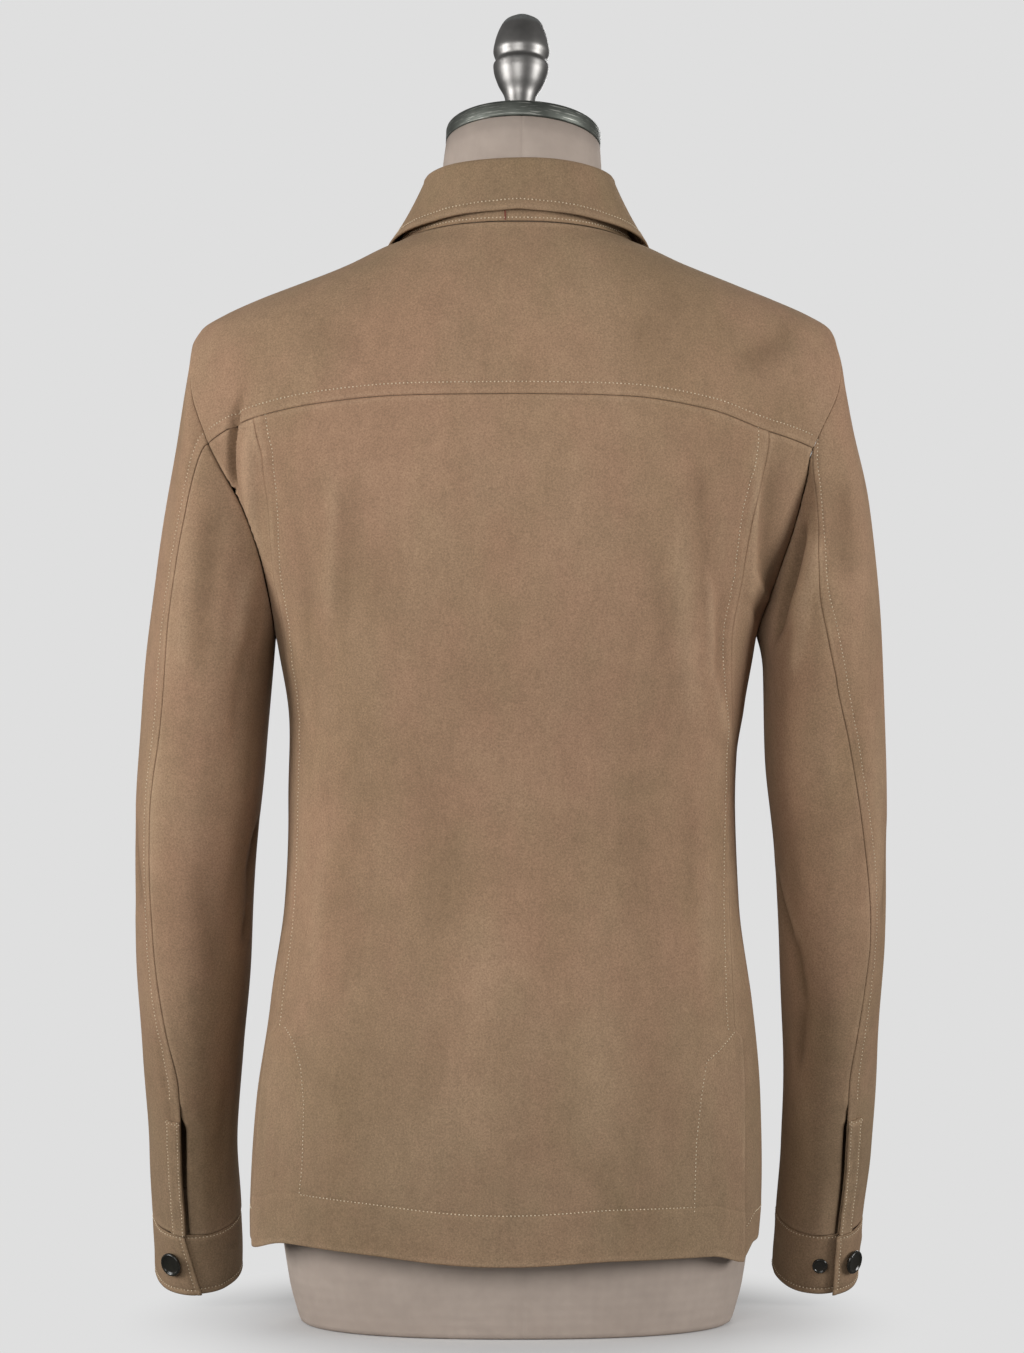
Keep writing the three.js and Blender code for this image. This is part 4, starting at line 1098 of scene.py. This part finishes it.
def front_surface(side, u, v):
    outer_turn, outer_z, low = outer_edge("left", v, FRONT["armhole_top"], FRONT["armpit"])
    neck_turn, neck_z = neck_seam(mix(YOKE["front"], -90, np.minimum(v / FRONT["neck"], 1)))
    middle = np.maximum(v - FRONT["neck"], 0) / (1 - FRONT["neck"])
    by_neck = v < FRONT["neck"]
    centre_turn = np.where(by_neck, neck_turn, -90)
    centre_z = np.where(by_neck, neck_z, mix(NECK_SEAM["side"] - NECK_SEAM["drop"], FRONT["low"], middle))
    turn, z = mix(outer_turn, centre_turn, u), mix(outer_z, centre_z, u)
    drop = hem_height(turn) - mix(low, FRONT["low"], u)
    return on_body(side_turn(side, turn), z + drop * smooth_step(v, 0.85, 1))


for side in ("left", "right"):
    front, grid = body_panel(
        f"front_{side}",
        partial(front_surface, side),
        (edge(), edge(), ()),
        (edge(), edge(FRONT["hem"]), (FRONT["neck"], FRONT["armpit"])),
        {"left": (0.7,), "right": (0.5,), "upper": (0.8,), "lower": (0.5, FRONT["hem"], 0.2)},
        pitch=FRONT["pitch"],
    )
    stitch_lines(f"front_{side}_stitches", [grid_line(grid, "lower", FRONT["hem"])[:-6]])

# ---------------------------------------------------------------------------------------------------------
# Button band: a straight strip over both front edges, turned in and topstitched down each side.

BAND = {"half": 16, "top": 690, "bottom": 56.5, "stitch": 5, "lift": 1.9}


def front_turn(x, z):
    half, _, _, shift = read_body(z)
    across = (x - shift) / half
    lean = np.degrees(np.arccos(np.abs(across) ** (CORNER / 2)))
    return np.where(across > 0, -lean, -180 + lean)


def band_surface(u, v):
    z = mix(BAND["top"], BAND["bottom"], v)
    return on_body(front_turn(mix(BAND["half"], -BAND["half"], u), z), z)


stitched = edge(BAND["stitch"])
sewn = (0.6, BAND["stitch"])
band, grid = body_panel(
    "front_band",
    band_surface,
    (stitched, stitched, ()),
    (edge(), edge(), ()),
    {"left": sewn, "right": sewn, "upper": (0.6,), "lower": (0.6,)},
    extra=lambda grid: BAND["lift"],
)
lines = [grid_line(grid, name, BAND["stitch"])[2:-2] for name in ("left", "right")]
stitch_lines("front_band_stitches", lines)

# ---------------------------------------------------------------------------------------------------------
# Collar: a stand sewn to the neck seam and a leaf that rolls over its top edge and falls to a topstitched
# lower edge, with a point at each front end. A rust-coloured bar tack marks the middle of the stand.

FOLD = {"x": 63.5, "shift": 2.5, "back": 61, "front": 66, "side": 804, "rise": 8, "drop": 80}
ROLL = {"over": 2.2, "out": 4.2, "down": 2.5, "share": 0.12}
LEAF = {"stitch": 7.5, "arch_back": -1, "arch_front": 11, "shift": 1.5}
LEAF_EDGE = [  # degrees round the neck, then the edge's place
    (-88, 52, -90.4, 665.5),
    (-60, 75, -80.4, 688.5),
    (-30, 92, -53.5, 732.5),
    (-12, 95, -25, 753),
    (0, 91.5, 0, 760.3),
    (20, 79, 35.5, 766),
    (40, 58.5, 53.5, 771),
    (60, 38, 64.5, 774.5),
    (90, 0, 71.5, 777.5),
]
read_leaf_edge = curve_through(LEAF_EDGE)
COLLAR_END = -88.5
STAND_STITCH = 2.4
FINE_PITCH = 2.2  # between the points of a small piece's grid


def level(around):
    return np.stack([cosine(around), sine(around), np.zeros_like(around)], -1)


def fold_point(around):
    back = sine(around)
    behind = back > 0
    z = FOLD["side"] + np.where(behind, FOLD["rise"] * back, -FOLD["drop"] * np.abs(back) ** 1.6)
    depth = np.where(behind, FOLD["back"], FOLD["front"])
    return np.stack([FOLD["x"] * cosine(around) - FOLD["shift"], depth * back, z], -1)


def stand_surface(u, v):
    around = mix(COLLAR_END, 180 - COLLAR_END, u)
    return mix(fold_point(around), on_body(*neck_seam(around)), (v * 0.99)[..., None])


def leaf_surface(u, v):
    around = mix(COLLAR_END, 180 - COLLAR_END, u)
    mirrored = np.where(around > 90, 180 - around, around)
    x, y, z = read_leaf_edge(mirrored)
    foot = np.stack([np.where(around > 90, -x, x) - LEAF["shift"], y, z], -1)
    away, up = level(around), np.array([0, 0, 1.0])
    top = fold_point(around)
    start = top - away * SUEDE["thickness"] + up * ROLL["over"]
    crown = top + away * ROLL["out"] * 0.95 + up * (ROLL["over"] + 0.6)
    shoulder = top + away * ROLL["out"] - up * ROLL["down"]
    t = np.clip(v / ROLL["share"], 0, 1)[..., None]
    rolled = start * (1 - t) ** 2 + crown * 2 * t * (1 - t) + shoulder * t**2
    share = np.clip((v - ROLL["share"]) / (1 - ROLL["share"]), 0, 1)
    height = mix(LEAF["arch_back"], LEAF["arch_front"], smooth_step(-mirrored, 10, 60))
    arch = (height * 4 * share * (1 - share))[..., None]
    fallen = mix(shoulder, foot, share[..., None]) + away * arch * 0.8 + up * arch * 0.6
    return np.where(v[..., None] < ROLL["share"], rolled, fallen)


stand, stand_grid = make_piece(
    "collar_stand",
    stand_surface,
    (edge(), edge(), ()),
    (edge(), edge(STAND_STITCH), ()),
    {"lower": (0.5,)},
    lambda grid: 0 * grid["u"],
    pitch=FINE_PITCH,
)
stitched = edge(LEAF["stitch"])
leaf, grid = make_piece(
    "collar_leaf",
    leaf_surface,
    (stitched, stitched, ()),
    (edge(), stitched, (ROLL["share"] / 2, ROLL["share"])),
    {**dict.fromkeys(("left", "right"), (0.4, LEAF["stitch"], 0.2)), "lower": (0.4, LEAF["stitch"], 0.3)},
    lambda grid: 0.25 * ripple(grid["points"], 70),
    pitch=FINE_PITCH,
)


def inside(grid, *names, stitch):
    """Where a grid lies no nearer to its named edges than their stitching."""
    return np.all([grid["gap"][name] > stitch - 0.1 for name in names], axis=0)


outside = inside(grid, "lower", stitch=LEAF["stitch"]) & (grid["v"] > 0.14)
lines = [grid_line(grid, "lower", LEAF["stitch"], inside(grid, "left", "right", stitch=LEAF["stitch"]))]
lines += [grid_line(grid, name, LEAF["stitch"], outside) for name in ("left", "right")]
stitch_lines("collar_stitches", [*lines, grid_line(stand_grid, "lower", STAND_STITCH)[4:-4]])

# Rust-coloured cotton, sewn over and over itself: dull, a little uneven.
rust_thread = spun_thread("rust_cotton_thread", "#6E2F27", "#94604C", 1, 2.0, 0.85)
tack = on_cloth(stand, [(7.5, 90, z) for z in np.linspace(776.5, 770.5, 7)])
stitch_lines("collar_bar_tack", [tack], rust_thread, {"pitch": 0.7, "length": 1.1, "radius": 0.75})

# ---------------------------------------------------------------------------------------------------------
# Sleeves: two pieces each, a top sleeve and a narrower under sleeve. The top sleeve is topstitched 8 mm
# from its back seam, and the seam is left open above the cuff as a slit.

SLEEVE = {"join": 457, "cuff": 66, "slit": 152, "front_seam": -120, "stitch": 8, "degree": 0.78}
SLEEVE_SECTIONS = [  # height, middle and half width of the left, of the right, middle back, half depth
    (15, 231.5, 32, 218.6, 31.5, -97, 43),
    (66, 232, 32, 220.8, 31.6, -81, 42),
    (114, 233.5, 31.8, 224.6, 32.5, -66, 43.5),
    (187, 231.6, 36.1, 225.7, 33.7, -44, 47.5),
    (259, 229.8, 41.1, 225.3, 37.3, -26, 53),
    (329, 227.4, 43, 223.5, 39.8, -12.5, 58),
    (398, 222.1, 45.2, 219, 42.8, -4.2, 62.5),
    (467, 216.4, 45.2, 217, 42.2, -1.5, 66),
    (534, 209.5, 43.8, 211, 43.6, -1, 64),
    (580, 204, 42.3, 206, 43, 0, 61),
    (630, 197, 41, 197, 41, 0, 58),
    (668, 191, 40.8, 190, 40.5, 0, 50),
    (687, 187.7, 41.4, 186, 40, 0, 44),
    (700, 185, 37, 185, 37, 0, 40),
]
SLEEVE_SEAM = [  # row (0 armhole, 1 below the armpit, 2 cuff), then degrees round the left and the right
    (0, 77, 79),
    (0.06, 73.2, 82.5),
    (0.2, 67.3, 85),
    (0.4, 60.8, 89.5),
    (0.6, 54.7, 93.2),
    (0.8, 52, 90.5),
    (1, 52.8, 84.5),
    (1.12, 51.4, 72),
    (1.24, 47.4, 61.3),
    (1.36, 47.8, 54.3),
    (1.46, 51.5, 50.3),
    (1.54, 57.2, 55.2),
    (1.63, 66, 63.5),
    (1.72, 78.5, 71.5),
    (1.8, 81, 71.8),
    (2, 82, 71),
]
SLEEVE_FOLDS = {  # across from the middle of the sleeve's back, and height
    "left": [
        (-5, 585, -1, 440, 0, 9, -2.2),
        (-18, 580, -14, 450, 0, 9, 1.2),
        (22, 540, 24, 455, 0, 6, 1.6),
        (28, 490, 25, 400, 0, 6, -1.8),
        (68, 356, 54, 300, 3, 5, -4.0),
        (54, 310, 50, 262, 0, 5, -2.5),
        (62, 350, 46, 270, 0, 4, 1.2),
        (-22, 190, -12, 150, 0, 4, 1.4),
        (-28, 200, -20, 150, 0, 5, -1.2),
        (10, 330, 26, 240, 3, 9, -1.4),
        (-38, 420, -30, 290, -3, 10, 1.1),
        (-60, 360, -44, 290, 3, 6, -2.2),
        (-90, 370, -70, 290, 2, 7, -2.6),
        (-120, 345, -104, 285, 2, 6, -2.4),
        (-110, 560, -104, 430, 3, 8, -1.8),
        (96, 520, 92, 430, 2, 7, -1.6),
        (-140, 480, -136, 400, 0, 7, 1.4),
        (-80, 220, -86, 110, 2, 9, -1.2),
        (40, 180, 34, 96, 0, 8, -1.0),
    ],
    "right": [
        (-20, 594, -18, 520, 0, 8, -2.2),
        (8, 560, 43, 480, 3, 3.0, -9.5),
        (0, 552, 27, 490, 3, 5.5, 4.5),
        (14, 508, 30, 452, 0, 6, 2.0),
        (68, 318, 38, 262, 0, 6, -4.0),
        (40, 270, 30, 222, 0, 6, -3.6),
        (30, 228, 41, 172, 0, 6, -3.0),
        (60, 318, 30, 262, 0, 5, 1.5),
        (-16, 430, -22, 300, 3, 10, -1.2),
        (-44, 400, -36, 280, -2, 10, 1.1),
        (-62, 350, -48, 280, 2, 6, -2.0),
        (-94, 350, -72, 272, 3, 7, -2.5),
        (-124, 352, -108, 296, 2, 6, -2.2),
        (-106, 550, -112, 425, -3, 8, -1.8),
        (98, 510, 92, 425, -2, 7, -1.5),
        (-138, 470, -132, 380, 0, 7, 1.3),
        (-84, 210, -78, 100, 2, 9, -1.2),
        (2, 150, 6, 84, 0, 9, -1.0),
    ],
}
SLIT_GAP = {"left": 6.5, "right": 3.2}
SLEEVE_CUT = {  # flat size and area of each piece, in metres
    ("left", "top"): ((0.25, 0.648), 0.091),
    ("left", "under"): ((0.22, 0.582), 0.073),
    ("right", "top"): ((0.25, 0.65), 0.096),
    ("right", "under"): ((0.2, 0.579), 0.067),
}
SLEEVE_EDGES = {
    "top": {"left": (0.7,), "right": (0.6, SLEEVE["stitch"], 0.12), "upper": (0.9,), "lower": (0.6,)},
    "under": {"left": (1.0,), "right": (0.7,), "upper": (2.2,), "lower": (0.6,)},
}
read_arm = curve_through(SLEEVE_SECTIONS)
read_sleeve_seam = curve_through(SLEEVE_SEAM)


def sleeve_seam(side, row):
    return read_sleeve_seam(row)[0 if side == "left" else 1]


def arm_point(side, around, z):
    """A point on an oval section square to the middle line of the arm. Around is 0 on the outer side."""
    *widths, y, deep = read_arm(z)
    x, half = widths[:2] if side == "left" else widths[2:]
    slope = (read_arm(z + 4)[4] - read_arm(z - 4)[4]) / 8
    back = deep * sine(around)
    across = hand_of(side) * (x + half * cosine(around))
    return np.stack(np.broadcast_arrays(across, y + back, z - back * slope), -1)


def sleeve_point(side, around, row):
    """Below the armhole the surface eases from the seam to the oval sections."""
    turn, z = armhole(side, around)
    high = np.minimum(row, 1)
    miss = on_body(turn, z) - arm_point(side, around, z)
    upper = arm_point(side, around, mix(z, SLEEVE["join"], high)) + miss * ((1 - high) ** 2)[..., None]
    lower = arm_point(side, around, mix(SLEEVE["join"], SLEEVE["cuff"], np.maximum(row - 1, 0)))
    return np.where((row < 1)[..., None], upper, lower)


def slit_gap(side, row):
    """How far the under sleeve's edge stands away along the slit, in degrees."""
    z = mix(SLEEVE["join"], SLEEVE["cuff"], row - 1)
    return SLIT_GAP[side] * (smooth_step(-z, -156, -145) - 0.4 * smooth_step(-z, -136, -84))


def sleeve_around(side, part, u, v):
    seam = sleeve_seam(side, 2 * v)
    if part == "top":
        return mix(SLEEVE["front_seam"], seam, u)
    return mix(seam + slit_gap(side, 2 * v), 360 + SLEEVE["front_seam"], u)


def sleeve_folds(side, points, around):
    height = folds(SLEEVE_FOLDS[side], (around - 90) * SLEEVE["degree"], points[..., 2])
    return (height + 0.35 * ripple(points, 90)) * by_armhole(points)


def under_slit(grid):
    """The under sleeve lies lower along the slit, behind the placket."""
    beside = 1 - smooth_step(grid["gap"]["left"], 2, 16)
    return -1.5 * smooth_step(-grid["points"][..., 2], -SLEEVE["slit"], -SLEEVE["slit"] + 8) * beside


for (side, part), (flat, area) in SLEEVE_CUT.items():
    sleeve, grid = make_piece(
        f"sleeve_{part}_{side}",
        lambda u, v: sleeve_point(side, sleeve_around(side, part, u, v), 2 * v),
        (edge(), edge(SLEEVE["stitch"]) if part == "top" else edge(), ()),
        (edge(), edge(), ()),
        SLEEVE_EDGES[part],
        lambda grid: sleeve_folds(side, grid["points"], sleeve_around(side, part, grid["u"], grid["v"])),
        under_slit if part == "under" else None,
        (hand_of(side) * 215, -10),
        rubbed_and_painted_light=("left", "right", "lower"),
        armhole_edge=True,
    )
    if part == "top":
        above_slit = grid["points"][..., 2] > SLEEVE["slit"] + 2
        line = grid_line(grid, "right", SLEEVE["stitch"], above_slit)[2:]
        stitch_lines(f"sleeve_{side}_stitches", [line])

# ---------------------------------------------------------------------------------------------------------
# Plackets: a narrow folded strip sewn over the top sleeve's edge beside each slit, boxed with stitching.

PLACKET = {"width": 20, "lift": 1.9, "stitch": 2.0}


def placket_around(side, u, v):
    row = 1 + (SLEEVE["join"] - mix(SLEEVE["slit"], SLEEVE["cuff"], v)) / (SLEEVE["join"] - SLEEVE["cuff"])
    slit = sleeve_seam(side, row)
    return mix(slit - PLACKET["width"], slit, u), row


def placket_swell(side, grid):
    around, _ = placket_around(side, grid["u"], grid["v"])
    beside_slit = 0.5 * np.exp(-(((grid["gap"]["right"] - 2.5) / 2.2) ** 2))
    return sleeve_folds(side, grid["points"], around) + beside_slit + 0.2 * ripple(grid["points"], 16)


stitched = edge(PLACKET["stitch"])
for side in ("left", "right"):
    placket, grid = make_piece(
        f"sleeve_placket_{side}",
        lambda u, v: sleeve_point(side, *placket_around(side, u, v)),
        (stitched, stitched, ()),
        (stitched, edge(), ()),
        dict.fromkeys(("left", "right", "upper"), (0.8, PLACKET["stitch"])),
        partial(placket_swell, side),
        lambda grid: PLACKET["lift"],
        (hand_of(side) * 215, -60),
        FINE_PITCH,
    )
    lines = [grid_line(grid, name, PLACKET["stitch"])[1:-1] for name in ("left", "right", "upper")]
    stitch_lines(f"sleeve_placket_{side}_stitches", lines)

# ---------------------------------------------------------------------------------------------------------
# Cuffs: a doubled band round each wrist, topstitched all round its edge. Its tab laps over its own start.
# The left one is buttoned, and the right one stands open.

CUFF = {"top": 66, "bottom": 22, "stitch": 4, "seam_stitch": 2.2}
CUFF_ENDS = {
    "left": {"under": 58, "over": 79, "over_hem": 100, "stand": 1.3},
    "right": {"under": 56, "over": 74, "over_hem": 74, "stand": 3.5},
}
CUFF_FOLDS = {  # way round and height of each end, bow, width, rise
    "left": [(110, 50, 124, 46, 0, 2.2, -0.9), (150, 52, 172, 44, 1, 3, 0.6), (300, 40, 330, 46, 0, 4, -0.7)],
    "right": [(120, 48, 140, 42, 0, 3, -0.7), (260, 44, 300, 50, 0, 4, 0.6), (385, 50, 396, 36, 0, 3, -0.6)],
}


def cuff_point(side, around, z):
    ends = CUFF_ENDS[side]
    near_start = 1 - smooth_step(around, ends["under"] + 40, ends["under"] + 75)
    near_end = smooth_step(around, 360 + ends["over"] - 65, 360 + ends["over"] - 20)
    point = arm_point(side, around, z)
    away = point - arm_point(side, around + 180, z)
    away = away / np.linalg.norm(away, axis=-1, keepdims=True)
    return point + away * (ends["stand"] * near_end - 1.2 * near_start)[..., None]


def cuff_place(side, u, v):
    """Degrees round the cuff and height, at two shares."""
    ends = CUFF_ENDS[side]
    end = 360 + mix(ends["over"], ends["over_hem"], v)
    return mix(ends["under"], end, u), mix(CUFF["top"], CUFF["bottom"], v)


def cuff_swell(side, grid):
    around, z = cuff_place(side, grid["u"], grid["v"])
    return folds(CUFF_FOLDS[side], around * SLEEVE["degree"], z) + 0.3 * ripple(grid["points"], 34)


stitched = edge(CUFF["stitch"])
for side in ("left", "right"):
    cuff, grid = make_piece(
        f"cuff_{side}",
        lambda u, v: cuff_point(side, *cuff_place(side, u, v)),
        (stitched, stitched, ()),
        (edge(CUFF["seam_stitch"]), stitched, ()),
        {
            **dict.fromkeys(("left", "right", "lower"), (0.7, CUFF["stitch"])),
            "upper": (0.9, CUFF["seam_stitch"]),
        },
        partial(cuff_swell, side),
        middle=(hand_of(side) * 226, -88),
        pitch=FINE_PITCH,
    )
    between = inside(grid, "left", "right", stitch=CUFF["stitch"])
    upright = inside(grid, "lower", stitch=CUFF["stitch"]) & (grid["gap"]["upper"] > 3)
    lines = [grid_line(grid, name, CUFF["stitch"], upright) for name in ("left", "right")]
    lines.append(grid_line(grid, "lower", CUFF["stitch"], between))
    lines.append(grid_line(grid, "upper", CUFF["seam_stitch"], between))
    stitch_lines(f"cuff_{side}_stitches", lines)

# ---------------------------------------------------------------------------------------------------------
# Buttons: turned from dark horn and polished, with a raised rim round a dished middle. Six close the front
# and one each cuff, and the open cuff shows the smaller stud that its tab was fastened by.

BUTTON = {"radius": 8.7, "height": 3.4}
STUD = {"radius": 5.6, "height": 2.6}
FRONT_BUTTON_HEIGHTS = np.linspace(662, 130, 6)
CUFF_BUTTONS = [  # node, side, degrees round the cuff, height above it, size
    ("cuff_button_left", "left", 360 + 63, 0.7, BUTTON),
    ("cuff_button_right", "right", 360 + 50, 0.7, BUTTON),
    ("cuff_stud_right", "right", 92, 0.5, STUD),
]
BUTTON_OUTLINE = [  # shares of the radius and the height, from the back's edge over the rim to the middle
    *((0.76, 0), (0.86, 0.06), (0.95, 0.24), (1, 0.45), (1, 0.62), (0.97, 0.84), (0.92, 0.96), (0.87, 1)),
    *((0.82, 0.97), (0.77, 0.86), (0.72, 0.74), (0.66, 0.68), (0.5, 0.62), (0.3, 0.58), (0.1, 0.56)),
]

# Horn, polished: near black with faint brown veins, and glossy.
horn, node = new_material("polished_horn")
grow = node("Mapping", {"Vector": node("TexCoord").outputs["Object"], "Scale": (1.0, 0.4, 0.35)})
veins = node("TexNoise", {"Vector": grow, "Scale": 1 / (3 * MM), "Detail": 4.0})
tone = node("Mix", {"Factor": veins, "A": "#0F0F0C", "B": "#2B2922"}, data_type="RGBA")
polish = node("MapRange", {"Value": veins, "To Min": 0.12, "To Max": 0.28})
skin = node("BsdfPrincipled", {"Base Color": tone, "Roughness": polish, "IOR": 1.55})
node("OutputMaterial", {"Surface": skin})


def button(node, here, along, up, lift, size=BUTTON):
    """A button that lies square on the cloth, which runs along and up from its middle."""
    out = np.cross(along, up)
    out = out / np.linalg.norm(out)
    outline = [(size["radius"] * r, size["height"] * h) for r, h in BUTTON_OUTLINE]
    fit(turned(f"{node}_horn", outline, horn, here + out * lift, out, 40), node)


cuff_middle = (CUFF["top"] + CUFF["bottom"]) / 2
for name, side, around, lift, size in CUFF_BUTTONS:
    here = cuff_point(side, around, cuff_middle)
    along = cuff_point(side, around + 1, cuff_middle) - cuff_point(side, around - 1, cuff_middle)
    up = cuff_point(side, around, cuff_middle + 1) - cuff_point(side, around, cuff_middle - 1)
    button(name, here, hand_of(side) * along, up, lift, size)
for i, z in enumerate(FRONT_BUTTON_HEIGHTS):
    turn = front_turn(0, z)
    along = on_body(turn + 1, z) - on_body(turn - 1, z)
    up = on_body(turn, z + 1.5) - on_body(turn, z - 1.5)
    button(f"front_button_{i + 1}", on_body(turn, z), along, up, BAND["lift"] + 0.5)
